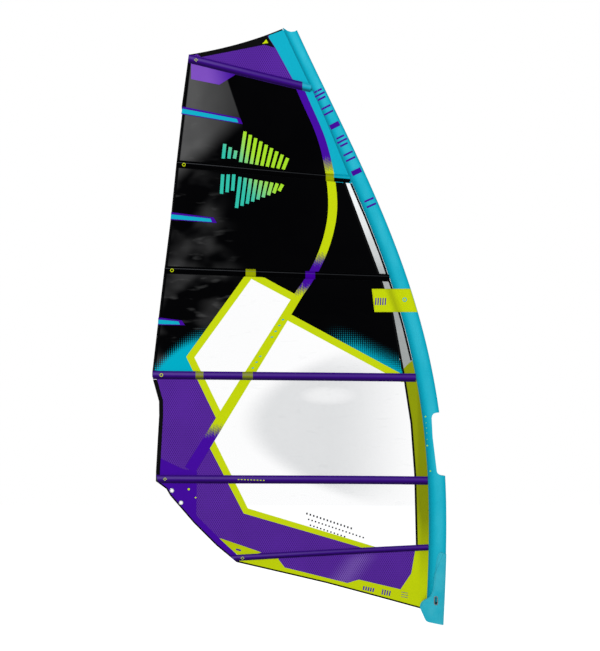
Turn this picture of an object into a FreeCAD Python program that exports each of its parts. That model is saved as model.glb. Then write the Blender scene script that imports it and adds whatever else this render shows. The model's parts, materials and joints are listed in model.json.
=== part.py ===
import FreeCAD, Part

import math
import os

# A 7.8 square metre windsurf sail, about 4.7 m tall, as it stands when it is rigged.
# Frame: +Z up, +X towards the luff (the mast side), Y across the sail.
# Origin: on the mast's axis where the mast enters the bottom of the luff sleeve.
# The sail is a thin sheet with a shallow belly towards +Y. Its panels, tapes and patches are
# cut out of that sheet, so neighbours meet edge to edge. Battens lie on its -Y side, in pockets.
# Three twist joints split the sail into four sections, each cut just below a batten.

V = FreeCAD.Vector

# --- Outline, as (x, z) in mm -------------------------------------------------------------
LUFF = (25.5, 48.8, 2.6, -31.4, 3.73)   # front edge x as a polynomial of the height in metres
HEAD_TOP = (-1247, 4716)
HEAD_MID = (-1500, 4625)                # the head edge is slightly hollow
HEAD_LEECH = (-1984, 4510)
LEECH = [(-2040, 4100), (-2037, 4040), (-2084, 3630), (-2128, 3200), (-2178, 2800),
         (-2226, 2400), (-2272, 2000), (-2272, 1960), (-2219, 1770), (-2218, 1660),
         (-2243, 1220), (-2244, 1140)]
CLEW = [(-2160, 1078), (-2131, 1027), (-1945, 810), (-1767, 632), (-1607, 499)]
FOOT_MID = (-896, 331)
TACK = (-158, 134)
TACK_TONGUE_X = -60                     # the tack corner reaches this far inside the fairing

# --- The sheet ----------------------------------------------------------------------------
LEECH_REF = (-2330.0, 0.075)            # reference leech line x = a + b z, for the belly only
BELLY_ENDS, BELLY_MORE = 25.0, 80.0     # draft at the ends, and how much deeper the middle is
FRONT_FACE = -0.3                       # the sheet's -Y face, from the sail's mean surface
FILM_T, TAPE_T, EDGE_T, PATCH_T = 0.6, 0.9, 1.5, 1.8
OFFCUT = 500.0                          # area of the largest scrap that isn't worth sewing in

# --- Luff sleeve --------------------------------------------------------------------------
SLEEVE_W, SLEEVE_W_HEAD = 138.0, 105.0  # front edge to rear seam
SLEEVE_TAPER = (3450.0, 4250.0)         # heights where the sleeve narrows
SLEEVE_RATIO = 0.41                     # thickness over width
SKIN_T = 1.2
SLEEVE_BOTTOM = 190.0
SEAM_GAP = 1.5                          # sheet to the sleeve's rear seam
SEAM_COUNT = 25                         # points along a seam, and sections of the sleeve
SECTION_GAP = 4.0                       # between two sections at a twist joint
LABEL = [(-536, 2660), (-222, 2660), (-167, 2474), (-515, 2477)]
LABEL_GAP, LABEL_T, LABEL_LEAD = 1.0, 0.9, 3.0
CUTOUT = [(-9, 1683), (-65, 1640), (-57, 1489), (-24, 1217), (49, 1182)]   # for the boom

# --- Battens: leech height, luff height, pocket half width --------------------------------
BATTENS = {1: (4479, 4246, 34), 2: (3647, 3528, 30), 3: (2810, 2747, 30),
           4: (1979, 1957, 33), 5: (1157, 1143, 33), 6: (533, 616, 24)}
BATTEN_R = 5.0
BATTEN_Y = -7.2                         # batten axis, from the mean surface
TIP_R, TIP_LEN = 6.5, 26.0
TIP_REACH = 58.0                        # how far the tip reaches into the sleeve
TIP_SLOT = 9.0                          # half height of the opening in the sleeve for it
POCKET_T, POCKET_RISE, POCKET_GAP = 1.0, 15.0, 0.3
TWIST_CUTS = {4: "middle_sail", 3: "upper_sail", 2: "head_sail"}
CUT_BELOW = 3.0                         # from a pocket's lower edge to the cut

# --- Batten tensioner, along the batten from the leech ------------------------------------
HOUSING = (84.0, 12.0, 22.0)            # length, thickness, width
BATTEN_START = 62.0
SOCKET_CLEAR = 0.7                      # batten end in its socket
SLIDER_W, SLIDER_LEN, SLIDER_START = 8.2, 26.0, 22.0
CAVITY_START = 14.0
SHANK_R, SHANK_LEN = 2.4, 38.0
HEAD_R, HEAD_LEN, HEAD_START = 4.5, 6.0, 2.0
HEX_KEY, HEX_DEPTH = 4.0, 3.6
BORE_CLEAR = 0.1

# --- Mini battens: leech end, inner end, half widths of the patch there --------------------
MINI_BATTENS = {1: ((-2030, 4069), (-1582, 3990), 30, 22),
                2: ((-2102, 3233), (-1789, 3203), 29, 20),
                3: ((-2196, 2402), (-2040, 2392), 28, 18)}
MINI_RISE = 4.0
STRIP = (12.0, 2.0)

# --- Clew eyelets ---------------------------------------------------------------------------
EYELETS = [(-2117, 1066), (-2045, 970)]
EYELET_HOLE_R, EYELET_WAIST_R, EYELET_OUTER_R, EYELET_H = 11.5, 14.0, 18.0, 7.0
EYELET_GRIP = 1.8                       # room for the sloping patch in the eyelet's waist

# --- Tack: fairing, flap and pulley ---------------------------------------------------------
FAIRING_W, FAIRING_H, FAIRING_T = 195.0, 84.0, 2.5
FAIRING_LEAD = 3.0                      # how far it stands in front of the sleeve
FAIRING_SNUG = (144.0, 64.0)            # width and thickness where it hugs the sleeve
FAIRING_BLEND = (230.0, 500.0)          # heights between the full and the snug size
OVAL = (-32, 198, 32.0, 72.0, 6.0)      # eyelet centre x, z, width, height, rim
PULLEY_X, PULLEY_PIN_Z, PULLEY_BAR_Z = -78.0, 62.0, 98.0
SHEAVE_R, SHEAVE_W, SHEAVE_PITCH = 11.0, 9.0, 9.4
PIN_R, BAR_R, CHEEK_T = 3.0, 4.0, 2.0
CHEEK_IN = 14.5                         # inner face of a cheek from the pulley's middle
STRAP_T, STRAP_W = 2.0, 24.0

# --- Head cap for the mast's tip ------------------------------------------------------------
CAP_Z, CAP_AXIS = 4560.0, 29.0          # the mouth's height, and the axis behind the front edge
CAP_R, CAP_LEN, CAP_BORE_R, CAP_DEPTH = 12.0, 70.0, 8.5, 62.0


# ============================== the sail's mean surface ====================================
def luff_x(z):
    """x of the sleeve's front edge at height z."""
    h = z / 1000.0
    return sum(c * h ** i for i, c in enumerate(LUFF))


def chord(z):
    return luff_x(z) - LEECH_REF[0] - LEECH_REF[1] * z


def belly(z):
    return BELLY_ENDS + BELLY_MORE * math.sin(math.pi * (z + 500.0) / 5600.0)


def sail_y(x, z):
    """y of the mean surface: deepest a third of the way back, flat towards the leech."""
    s = (luff_x(z) - x) / chord(z)
    return belly(z) * 6.75 * s * (1.0 - s) ** 2


def smooth(value, low, high):
    t = min(1.0, max(0.0, (value - low) / (high - low)))
    return t * t * (3.0 - 2.0 * t)


def sleeve_width(z):
    return SLEEVE_W + (SLEEVE_W_HEAD - SLEEVE_W) * smooth(z, *SLEEVE_TAPER)


def rear_x(z):
    """x of the sleeve's rear seam at height z."""
    return luff_x(z) - sleeve_width(z)


def aerofoil(q, thickness):
    """Half thickness of a round-nosed, sharp-tailed section at the share q of its width."""
    return 5.0 * thickness * (0.2969 * math.sqrt(q) - 0.1260 * q - 0.3516 * q ** 2
                              + 0.2843 * q ** 3 - 0.1015 * q ** 4)


def luff_direction(z):
    """Unit vector up along the luff."""
    step = 5.0
    return V(luff_x(z + step) - luff_x(z - step), 0, 2 * step).normalize()


# ============================== flat shapes in the XZ plane ================================
def point(xz):
    return V(xz[0], 0, xz[1])


def face_of(edges):
    return Part.Face(Part.Wire(Part.__sortEdges__(edges)))


def polygon(points):
    corners = [point(p) for p in points]
    return Part.Face(Part.makePolygon(corners + [corners[0]]))


def curve(points):
    line = Part.BSplineCurve()
    line.interpolate([point(p) for p in points])
    return line.toShape()


def lines(points):
    return [Part.makeLine(point(a), point(b)) for a, b in zip(points, points[1:])]


def shifted(points, widths):
    """The points of a polyline moved to its left, each by its own width, with mitred corners."""
    moved = []
    for i, (x, z) in enumerate(points):
        before = points[max(i - 1, 0)]
        after = points[min(i + 1, len(points) - 1)]
        normals = []
        for a, b in ((before, (x, z)), ((x, z), after)):
            length = math.hypot(b[0] - a[0], b[1] - a[1])
            if length > 0:
                normals.append(((a[1] - b[1]) / length, (b[0] - a[0]) / length))
        nx = sum(n[0] for n in normals) / len(normals)
        nz = sum(n[1] for n in normals) / len(normals)
        scale = widths[i] / (nx * nx + nz * nz)
        moved.append((x + nx * scale, z + nz * scale))
    return moved


def ribbon(points, width):
    """A band along a polyline, half its width on each side."""
    widths = width if isinstance(width, list) else [width] * len(points)
    left = shifted(points, [w / 2 for w in widths])
    right = shifted(points, [-w / 2 for w in widths])
    return polygon(left + right[::-1])


def edge_band(points, width):
    """A band on the left of a polyline."""
    return polygon(points + shifted(points, [width] * len(points))[::-1])


def joined(faces):
    result = faces[0]
    for other in faces[1:]:
        result = result.fuse(other)
    return result


def prism(flat, low=-500.0, high=500.0):
    moved = flat.copy()
    moved.translate(V(0, low, 0))
    return moved.extrude(V(0, high - low, 0))


def box2d(x0, x1, z0, z1):
    return polygon([(x0, z0), (x1, z0), (x1, z1), (x0, z1)])


# ============================== cutting pieces out of the sheet ============================
def sheet_face():
    """The mean surface as one smooth face that is larger than the sail."""
    heights = [-60 + 4860 * i / 15 for i in range(16)]
    shares = [-0.03, 0.0, 0.03, 0.07, 0.14, 0.24, 0.36, 0.5, 0.64, 0.78, 0.9, 1.0, 1.1]
    grid = []
    for s in shares:
        row = []
        for z in heights:
            x = luff_x(z) - s * chord(z)
            row.append(V(x, sail_y(x, z), z))
        grid.append(row)
    surface = Part.BSplineSurface()
    surface.interpolate(grid)
    return surface.toShape()


SHEET = sheet_face()


def slab(low, thickness):
    """The whole sheet as a solid, from low to low + thickness off the mean surface."""
    moved = SHEET.copy()
    moved.translate(V(0, low, 0))
    return moved.extrude(V(0, thickness, 0))


SLABS = {t: slab(FRONT_FACE, t) for t in (FILM_T, TAPE_T, EDGE_T, PATCH_T)}


def cut_sheet(flat, thickness=FILM_T):
    """The solids that a flat shape cuts out of the sheet, without the offcuts."""
    solids = [s for f in flat.Faces for s in SLABS[thickness].common(prism(f)).Solids]
    return [s for s in solids if s.Volume > OFFCUT * thickness]


# ============================== outline and sections =======================================
def seam_points(low, high, count, gap=SEAM_GAP):
    return [(rear_x(z) - gap, z) for z in
            (low + (high - low) * i / (count - 1) for i in range(count))]


def sail_outline():
    """The sheet's edge: hollow head, leech, clew, foot, tack tongue and the seam at the sleeve."""
    head = Part.Arc(point(HEAD_TOP), point(HEAD_MID), point(HEAD_LEECH)).toShape()
    foot_slope = (TACK[1] - FOOT_MID[1]) / (TACK[0] - FOOT_MID[0])
    tongue_z = TACK[1] + foot_slope * (TACK_TONGUE_X - TACK[0])
    seam = seam_points(SLEEVE_BOTTOM, HEAD_TOP[1] - 20, SEAM_COUNT)
    below = SLEEVE_BOTTOM - 6
    border = [HEAD_LEECH] + LEECH + CLEW + [FOOT_MID, TACK, (TACK_TONGUE_X, tongue_z),
                                            (TACK_TONGUE_X, below), (seam[0][0], below), seam[0]]
    return face_of([head] + lines(border) + [curve(seam)] + lines([seam[-1], HEAD_TOP]))


OUTLINE = sail_outline()


def leech_x(z):
    chain = [HEAD_LEECH] + LEECH
    for (x0, z0), (x1, z1) in zip(chain, chain[1:]):
        if z1 <= z <= z0:
            return x0 + (x1 - x0) * (z - z0) / (z1 - z0)
    raise ValueError(z)


def batten_ends(n):
    """(leech end, luff end at the sleeve's rear seam) of batten n's axis, as (x, z)."""
    leech_z, luff_z, _ = BATTENS[n]
    start_x = CLEW[-1][0] + 7 if n == 6 else leech_x(leech_z)
    return (start_x, leech_z), (rear_x(luff_z), luff_z)


def batten_direction(n):
    (x0, z0), (x1, z1) = batten_ends(n)
    length = math.hypot(x1 - x0, z1 - z0)
    return (x1 - x0) / length, (z1 - z0) / length


def cut_height(n):
    """Where the cut below batten n meets the sleeve's rear seam."""
    return BATTENS[n][1] - BATTENS[n][2] - CUT_BELOW


def cut_line(n):
    """The cut below batten n: along the pocket, then square across the sleeve."""
    (x0, z0), (x1, z1) = batten_ends(n)
    drop = BATTENS[n][2] + CUT_BELOW
    up = luff_direction(cut_height(n))
    reach = 400.0
    seam = (rear_x(cut_height(n)), cut_height(n))
    beyond = 300.0
    slope = (z1 - z0) / (x1 - x0)
    return [(x0 - beyond, z0 - drop - slope * beyond), seam,
            (seam[0] + reach * up.z, seam[1] - reach * up.x)]


def sections():
    """Flat shape of each section, from the foot to the head, with a gap at every cut."""
    cuts = [cut_line(n) for n in TWIST_CUTS]
    floor = [(-2700, -300), (300, -300), (600, -300)]
    ceiling = [(-2700, 5200), (-900, 5200), (600, 5200)]
    half = SECTION_GAP / 2
    result = {}
    lowers = [floor] + [shifted(c, [half] * 3) for c in cuts]
    uppers = [shifted(c, [-half] * 3) for c in cuts] + [ceiling]
    for name, low, high in zip(["lower_sail"] + list(TWIST_CUTS.values()), lowers, uppers):
        result[name] = polygon(low + high[::-1])
    return result


SECTIONS = sections()


# ============================== panels and tapes ===========================================
# The load band runs from the head down to the clew. Path and width across it.
BAND = [(-1118, 4280), (-1085, 4197), (-944, 3873), (-869, 3570), (-848, 3268), (-869, 3131),
        (-943, 2904), (-1105, 2632), (-1975, 1228)]
BAND_WIDTHS = [60, 58, 58, 66, 71, 69, 66, 64, 92]
WINDOW_LEFT = [(-1150, 2590), (-1498, 2775), (-1972, 2120), (-1720, 1600)]   # tape centre lines
WINDOW_TOP = [(-1250, 2466), (-250, 1927)]
WINDOW_LOW = [(-1815, 1460), (-1534, 903), (-440, 578)]
WINDOW_TAPE = 56
WINDOW_TAPE_LOW = [60, 48, 36]          # the lower tape narrows towards the luff
LUFF_SEAM = [(-775, 3560), (-487, 2790), (-374, 2466), (-276, 1940), (-223, 1595), (-193, 1187),
             (-180, 611)]
SEAM_W, LEECH_W, HEAD_EDGE_W = 16, 12, 12
LEECH_W_LOW, LEECH_W_TOP = 32, 1960     # the leech binding is wider below this height
HEAD_BINDING = [(-2000, 4560), (-1905, 4508), (-1887, 4490), (-1386, 4592), (-1305, 4568),
                (-1355, 4649), (-1400, 4720)]
CLEW_PATCH = [(-2300, 1390), (-2195, 1315), (-2030, 1236), (-1919, 1217), (-1925, 869),
              (-1735, 680), (-1606, 560), (-1575, 538), (-1600, 470), (-2300, 900)]
FOOT_PATCH = [(-1742, 688), (-1413, 574), (-1585, 540), (-1600, 560)]
FOOT_BAND = [(-1640, 570), (-1277, 540), (-1277, 517), (-1228, 453), (-730, 329), (-639, 356),
             (-309, 280), (-223, 408), (-193, 582), (-193, 620), (0, 620), (0, -100), (-1640, 400)]
CYAN_PANEL = [(-1352, 4651), (-1296, 4568), (-1161, 4321), (-1118, 4280), (-944, 3873),
              (-869, 3570), (-860, 3400), (-400, 3400), (-900, 4800), (-1300, 4800)]
HEAD_PANEL = [(-2100, 4500), (-1000, 4236), (-900, 4300), (-1100, 4800), (-2100, 4800)]
SIZE_PATCH = [(-1966, 4480), (-1966, 4317), (-1743, 4273), (-1600, 4364), (-1600, 4392)]
ARC_STRIP_END = [(-300, 2005), (-262, 2050), (-208, 2096)]   # where clear strip meets tack panel


def load_band():
    left = shifted(BAND, [w / 2 for w in BAND_WIDTHS])
    right = shifted(BAND, [-w / 2 for w in BAND_WIDTHS])
    straight = lines([left[-2], left[-1], right[-1], right[-2]])
    return face_of([curve(left[:-1]), curve(right[:-1])] + straight + lines([left[0], right[0]]))


def side_of_band(sign):
    """A large region on one side of the load band's middle."""
    path = [(-1118, 4800)] + BAND + [(-2500, 380)]
    far = 3000 * sign
    return polygon(path + [(path[-1][0] + far, path[-1][1]), (path[0][0] + far, path[0][1])])


def luff_side():
    """Everything between the luff seam tape and the sleeve."""
    return polygon(LUFF_SEAM + [(400, 560), (400, 3560)])


def above_foot_batten():
    """A large region above the line of the lowest batten, where the clear window ends."""
    (x0, z0), (x1, z1) = batten_ends(6)
    beyond = -3000.0
    level = z0 + (z1 - z0) * (beyond - x0) / (x1 - x0)
    return polygon([(beyond, level), (x1, z1), (x1, 3000), (beyond, 3000)])


def seam_tapes():
    left = ribbon(WINDOW_LEFT, WINDOW_TAPE).common(side_of_band(-1))
    top = ribbon(WINDOW_TOP, WINDOW_TAPE).common(side_of_band(1))
    low = ribbon(WINDOW_LOW, WINDOW_TAPE_LOW).common(side_of_band(1)).common(above_foot_batten())
    return joined([left, top, low]).cut(luff_side())


def black_tapes():
    """Leech, clew, foot and head binding, and the black seams beside the sleeve."""
    binding = edge_band([HEAD_LEECH] + LEECH + CLEW + [FOOT_MID, TACK], LEECH_W)
    wide = edge_band([p for p in LEECH if p[1] <= LEECH_W_TOP], LEECH_W_LOW)
    head = edge_band([HEAD_TOP, HEAD_MID, HEAD_LEECH], HEAD_EDGE_W).fuse(polygon(HEAD_BINDING))
    seam = ribbon(LUFF_SEAM, SEAM_W)
    beside = edge_band(seam_points(2096, 3500, 6, 0), SEAM_W)
    return joined([binding, wide, head, seam, beside])


def window_regions():
    left = polygon(WINDOW_LEFT).common(side_of_band(-1))
    right = polygon([WINDOW_TOP[0], WINDOW_TOP[1], LUFF_SEAM[3], LUFF_SEAM[4], LUFF_SEAM[5],
                     LUFF_SEAM[6], WINDOW_LOW[2], WINDOW_LOW[1], WINDOW_LOW[0]])
    right = right.common(above_foot_batten())
    low = ARC_STRIP_END
    strip = face_of([Part.Arc(*[point(p) for p in low]).toShape()]
                    + lines([low[-1], (400, 2096), (400, 3560), (-790, 3560), (-900, 3300),
                             (-700, 2000), low[0]])).common(luff_side())
    return joined([left, right.common(side_of_band(1))]), strip.cut(SECTIONS["head_sail"])


def regions():
    """Flat regions of the sheet in order of priority. Each gets what earlier ones left."""
    window, strip = window_regions()
    tack_top = polygon(LUFF_SEAM[3:] + [(-178, -100), (400, -100), (400, 2110), (-320, 2110)])
    return [
        ("black_tape", black_tapes(), EDGE_T),
        ("load_band", load_band(), TAPE_T),
        ("cyan_panel", polygon(CYAN_PANEL).common(SECTIONS["head_sail"]), FILM_T),
        ("clew_patch", polygon(CLEW_PATCH), PATCH_T),
        ("foot_patch", polygon(FOOT_PATCH), TAPE_T),
        ("foot_band", polygon(FOOT_BAND), TAPE_T),
        ("window_tape", seam_tapes(), TAPE_T),
        ("strip", strip, FILM_T),
        ("tack_panel", tack_top, FILM_T),
        ("window", window, FILM_T),
        ("size_patch", polygon(SIZE_PATCH), FILM_T),
        ("head_panel", polygon(HEAD_PANEL), FILM_T),
        ("film", box2d(-3000, 400, -300, 5200), FILM_T),
    ]


# Which node each region becomes, in each section.
NODE_OF = {
    "lower_sail": {"black_tape": "seam_tapes_lower", "window_tape": "seam_tapes_lower",
                   "load_band": "seam_tapes_lower", "clew_patch": "clew_patch",
                   "foot_patch": "tack_panel", "foot_band": "tack_panel",
                   "tack_panel": "tack_panel", "strip": "tack_panel", "window": "window_lower",
                   "film": "ply_panel_lower"},
    "middle_sail": {"black_tape": "seam_tapes_middle", "window_tape": "seam_tapes_middle",
                    "load_band": "seam_tapes_middle", "window": "window_middle",
                    "strip": "window_middle", "tack_panel": "window_middle",
                    "film": "film_middle"},
    "upper_sail": {"black_tape": "seam_tapes_upper", "load_band": "seam_tapes_upper",
                   "window_tape": "seam_tapes_upper", "strip": "luff_window_upper",
                   "film": "film_upper"},
    "head_sail": {"black_tape": "seam_tapes_head", "load_band": "seam_tapes_head",
                  "cyan_panel": "luff_panel_head", "head_panel": "head_panel",
                  "size_patch": "head_panel", "film": "film_head"},
}


def sheet_nodes():
    """Cuts the sheet into its panels, tapes and patches, by section."""
    nodes = {}
    taken = None
    for name, flat, thickness in regions():
        free = flat.common(OUTLINE)
        if taken is not None:
            free = free.cut(taken)
        taken = free if taken is None else taken.fuse(free)
        for section, shape in SECTIONS.items():
            here = free.common(shape)
            solids = cut_sheet(here, thickness)
            if solids:
                nodes.setdefault(NODE_OF[section].get(name, section+"_"+name), []).extend(solids)
    return nodes


# ============================== luff sleeve ================================================
def tube_wire(z, lead, width, thickness, inset, tail):
    """A closed section of a sleeve at height z, drawn as an aerofoil round the mean surface."""
    count = 12
    upper, lower = [], []
    for i in range(count + 1):
        q = (1.0 - math.cos(math.pi * i / count)) / 2.0
        d = inset + q * (width - inset - tail)
        half = max(aerofoil(d / width, thickness) - 1.15 * inset, 0.15) if i else 0.0
        x = luff_x(z) + lead - d
        upper.append(V(x, sail_y(x, z) + half, z))
        lower.append(V(x, sail_y(x, z) - half, z))
    around = Part.BSplineCurve()
    around.interpolate(upper[::-1] + lower[1:])
    return Part.Wire([around.toShape(), Part.makeLine(lower[-1], upper[-1])])


def sleeve_tube(inset, tail):
    heights = [-40 + 4850 * i / (SEAM_COUNT - 1) for i in range(SEAM_COUNT)]
    wires = [tube_wire(z, 0.0, sleeve_width(z), SLEEVE_RATIO * sleeve_width(z), inset, tail)
             for z in heights]
    return Part.makeLoft(wires, True, False)


def sleeve_outline():
    """Side view of the sleeve: dipped head, boom cut-out and a straight bottom."""
    top = [(rear_x(4722) + 5, 4722), (-1176, 4690), (luff_x(4708) + 1, 4708)]
    dip = Part.Arc(*[point(p) for p in top]).toShape()
    beyond = 600
    sides = [top[-1], (beyond, top[-1][1]), (beyond, SLEEVE_BOTTOM),
             (-beyond, SLEEVE_BOTTOM), (-3 * beyond, top[0][1]), top[0]]
    whole = face_of([dip] + lines(sides))
    (x0, z0), (x1, z1), (x2, z2), (x3, z3), (x4, z4) = CUTOUT
    upper_arc = Part.Arc(point((x0, z0)), point((x0 - 42, z0 - 10)), point((x1, z1))).toShape()
    lower_arc = Part.Arc(point((x3, z3)), point((x3 + 22, z3 - 26)), point((x4, z4))).toShape()
    cutout = face_of([upper_arc, lower_arc] + lines([(x1, z1), (x2, z2), (x3, z3)])
                     + lines([(x4, z4), (300, z4), (300, z0), (x0, z0)]))
    return whole.cut(cutout)


def tip_slots():
    """Openings in the sleeve's -Y skin, at its rear seam, for the batten tips."""
    tools = []
    for n in BATTENS:
        (x0, z0), (x1, z1) = batten_ends(n)
        ux, uz = batten_direction(n)
        ends = [(x1 - 30 * ux, z1 - 30 * uz),
                (x1 + (TIP_REACH + 4) * ux, z1 + (TIP_REACH + 4) * uz)]
        flat = ribbon(ends, 2 * TIP_SLOT)
        moved = SHEET.copy()
        moved.translate(V(0, -0.8, 0))
        cut = moved.extrude(V(0, -90, 0)).common(prism(flat))
        tools.append(cut)
    return tools


def sleeve_nodes():
    tube = sleeve_tube(0.0, 0.0).cut(sleeve_tube(SKIN_T, 12.0))
    tube = tube.common(prism(sleeve_outline()))
    for tool in tip_slots():
        tube = tube.cut(tool)
    names = {"lower_sail": "luff_sleeve_lower", "middle_sail": "luff_sleeve_middle",
             "upper_sail": "luff_sleeve_upper", "head_sail": "luff_sleeve_head"}
    return {names[s]: tube.common(prism(flat)).Solids for s, flat in SECTIONS.items()}


def sleeve_label():
    """The patch sewn round the sleeve's rear seam onto the film, in the middle section."""
    (left_top, top), _, _, (left_bottom, bottom) = LABEL
    wires = []
    for i in range(4):
        z = bottom + (top - bottom) * i / 3
        width = sleeve_width(z)
        back = luff_x(z) - left_bottom - (left_top - left_bottom) * i / 3
        round_nose = [LABEL_LEAD + (width - LABEL_LEAD) * (1 - math.cos(math.pi * k / 14)) / 2
                      for k in range(15)]
        flat_tail = [width + (back - width) * k / 4 for k in range(1, 5)]
        inner, outer = [], []
        for d in round_nose + flat_tail:
            half = aerofoil(min(d / width, 1.0), SLEEVE_RATIO * width)
            x = luff_x(z) - d
            y = sail_y(x, z) - max(half, -FRONT_FACE) - LABEL_GAP
            inner.append(V(x, y, z))
            outer.append(V(x, y - LABEL_T, z))
        loop = inner + outer[::-1]
        wires.append(Part.makePolygon(loop + [loop[0]]))
    return [Part.makeLoft(wires, True, True)]


# ============================== battens and pockets ========================================
def along(n, distance, offset=BATTEN_Y):
    """The point on batten n's axis that is distance from its leech end."""
    (x0, z0), _ = batten_ends(n)
    ux, uz = batten_direction(n)
    x, z = x0 + ux * distance, z0 + uz * distance
    return V(x, sail_y(x, z) + offset, z)


def batten_length(n):
    (x0, z0), (x1, z1) = batten_ends(n)
    return math.hypot(x1 - x0, z1 - z0)


def batten(n):
    """A rod that follows the belly, and the moulded tip at its luff end."""
    rod_end = batten_length(n) + TIP_REACH - TIP_LEN
    count = 25
    path = Part.BSplineCurve()
    path.interpolate([along(n, BATTEN_START + (rod_end - BATTEN_START) * i / (count - 1))
                      for i in range(count)])
    span = path.LastParameter - path.FirstParameter
    stations = [path.FirstParameter + span * i / (count - 1) for i in range(count)]
    rings = []
    for t in stations:
        ring = Part.Wire(Part.makeCircle(BATTEN_R, V(0, 0, 0), V(1, 0, 0)))
        turn = FreeCAD.Rotation(V(1, 0, 0), path.tangent(t)[0])
        ring.Placement = FreeCAD.Placement(path.value(t), turn)
        rings.append(ring)
    rod = Part.makeLoft(rings, True, True)
    last, heading = path.value(path.LastParameter), path.tangent(path.LastParameter)[0]
    tip = Part.makeCylinder(TIP_R, TIP_LEN, last, heading)
    ends = [e for e in tip.Edges if e.Curve.TypeId.endswith("Circle")]
    return rod.Solids + tip.makeFillet(2.5, ends).Solids


def pocket(n):
    """A domed fabric strip over the batten, open at both ends."""
    half = BATTENS[n][2]
    length = batten_length(n) - 2.0
    ux, uz = batten_direction(n)
    (x0, z0), _ = batten_ends(n)
    start = -60.0
    grid = []
    for i in range(13):
        row = []
        s = start + (length - start) * i / 12.0
        for j in range(-6, 7):
            q = j / 6.0
            x = x0 + ux * s - uz * q * half
            z = z0 + uz * s + ux * q * half
            rise = POCKET_RISE * (1.0 - abs(q) ** 3)
            row.append(V(x, sail_y(x, z) + FRONT_FACE - POCKET_GAP - rise, z))
        grid.append(row)
    surface = Part.BSplineSurface()
    surface.interpolate(grid)
    shell = surface.toShape().extrude(V(0, -POCKET_T, 0))
    return shell.common(prism(OUTLINE)).Solids


def mini_batten(n):
    """A short flat strip at the leech under a sewn patch."""
    (x0, z0), (x1, z1), half0, half1 = MINI_BATTENS[n]
    length = math.hypot(x1 - x0, z1 - z0)
    ux, uz = (x1 - x0) / length, (z1 - z0) / length
    grid = []
    for i in range(9):
        row = []
        s = -30 + (length + 30) * i / 8.0
        half = half0 + (half1 - half0) * max(s, 0.0) / length
        for j in range(-4, 5):
            q = j / 4.0
            slant = (1.0 - q) * 14.0 * i / 8.0
            x = x0 + ux * (s + slant) - uz * q * half
            z = z0 + uz * (s + slant) + ux * q * half
            row.append(V(x, sail_y(x, z) + FRONT_FACE - POCKET_GAP - MINI_RISE * (1 - q * q), z))
        grid.append(row)
    surface = Part.BSplineSurface()
    surface.interpolate(grid)
    patch = surface.toShape().extrude(V(0, -0.8, 0)).common(prism(OUTLINE)).Solids
    ends = [(x0 + ux * 8, z0 + uz * 8), (x1 - ux * 22, z1 - uz * 22)]
    strip_slab = slab(FRONT_FACE - 0.5 - STRIP[1], STRIP[1])
    return patch + strip_slab.common(prism(ribbon(ends, STRIP[0]))).Solids


# ============================== batten tensioner ===========================================
def at_leech(n, solids):
    """Moves solids drawn along +X from the origin to batten n's leech end."""
    base = along(n, 0.0)
    heading = along(n, HOUSING[0]).sub(base)
    place = FreeCAD.Placement(base, FreeCAD.Rotation(V(1, 0, 0), heading))
    moved = [solid.copy() for solid in solids]
    for solid in moved:
        solid.Placement = place.multiply(solid.Placement)
    return moved


def rod_x(radius, start, length):
    return Part.makeCylinder(radius, length, V(start, 0, 0), V(1, 0, 0))


def square_x(side, start, length):
    return Part.makeBox(length, side, side, V(start, -side / 2, -side / 2))


def tensioner_housing(n):
    """A moulded block at the leech: screw bearing, slider guide and socket for the batten."""
    length, thick, wide = HOUSING
    body = Part.makeBox(length, thick, wide, V(0, -thick / 2, -wide / 2))
    body = body.makeFillet(2.0, [e for e in body.Edges if e.Length == length])
    guide = SLIDER_W + 2 * BORE_CLEAR
    body = body.cut(rod_x(HEAD_R + 2 * BORE_CLEAR, 0, HEAD_START + HEAD_LEN + BORE_CLEAR))
    body = body.cut(rod_x(SHANK_R + BORE_CLEAR, 0, length))
    body = body.cut(square_x(guide, CAVITY_START, BATTEN_START - CAVITY_START))
    body = body.cut(rod_x(BATTEN_R + SOCKET_CLEAR, BATTEN_START - 1, length))
    return at_leech(n, body.Solids)


def tension_screw(n):
    """A socket screw whose head faces the leech."""
    head = rod_x(HEAD_R, HEAD_START, HEAD_LEN)
    corner = HEX_KEY / math.sqrt(3)
    corners = [V(HEAD_START, corner * math.cos(math.radians(60 * k)),
                 corner * math.sin(math.radians(60 * k))) for k in range(6)]
    socket = Part.Face(Part.makePolygon(corners + [corners[0]])).extrude(V(HEX_DEPTH, 0, 0))
    shank = rod_x(SHANK_R, HEAD_START + HEAD_LEN, SHANK_LEN)
    return at_leech(n, head.cut(socket).fuse(shank).Solids)


def tension_slider(n):
    """The square nut that the screw drives towards the batten's end."""
    body = square_x(SLIDER_W, SLIDER_START, SLIDER_LEN)
    thread = rod_x(SHANK_R + BORE_CLEAR, SLIDER_START, SLIDER_LEN)
    return at_leech(n, body.cut(thread).Solids)


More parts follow.
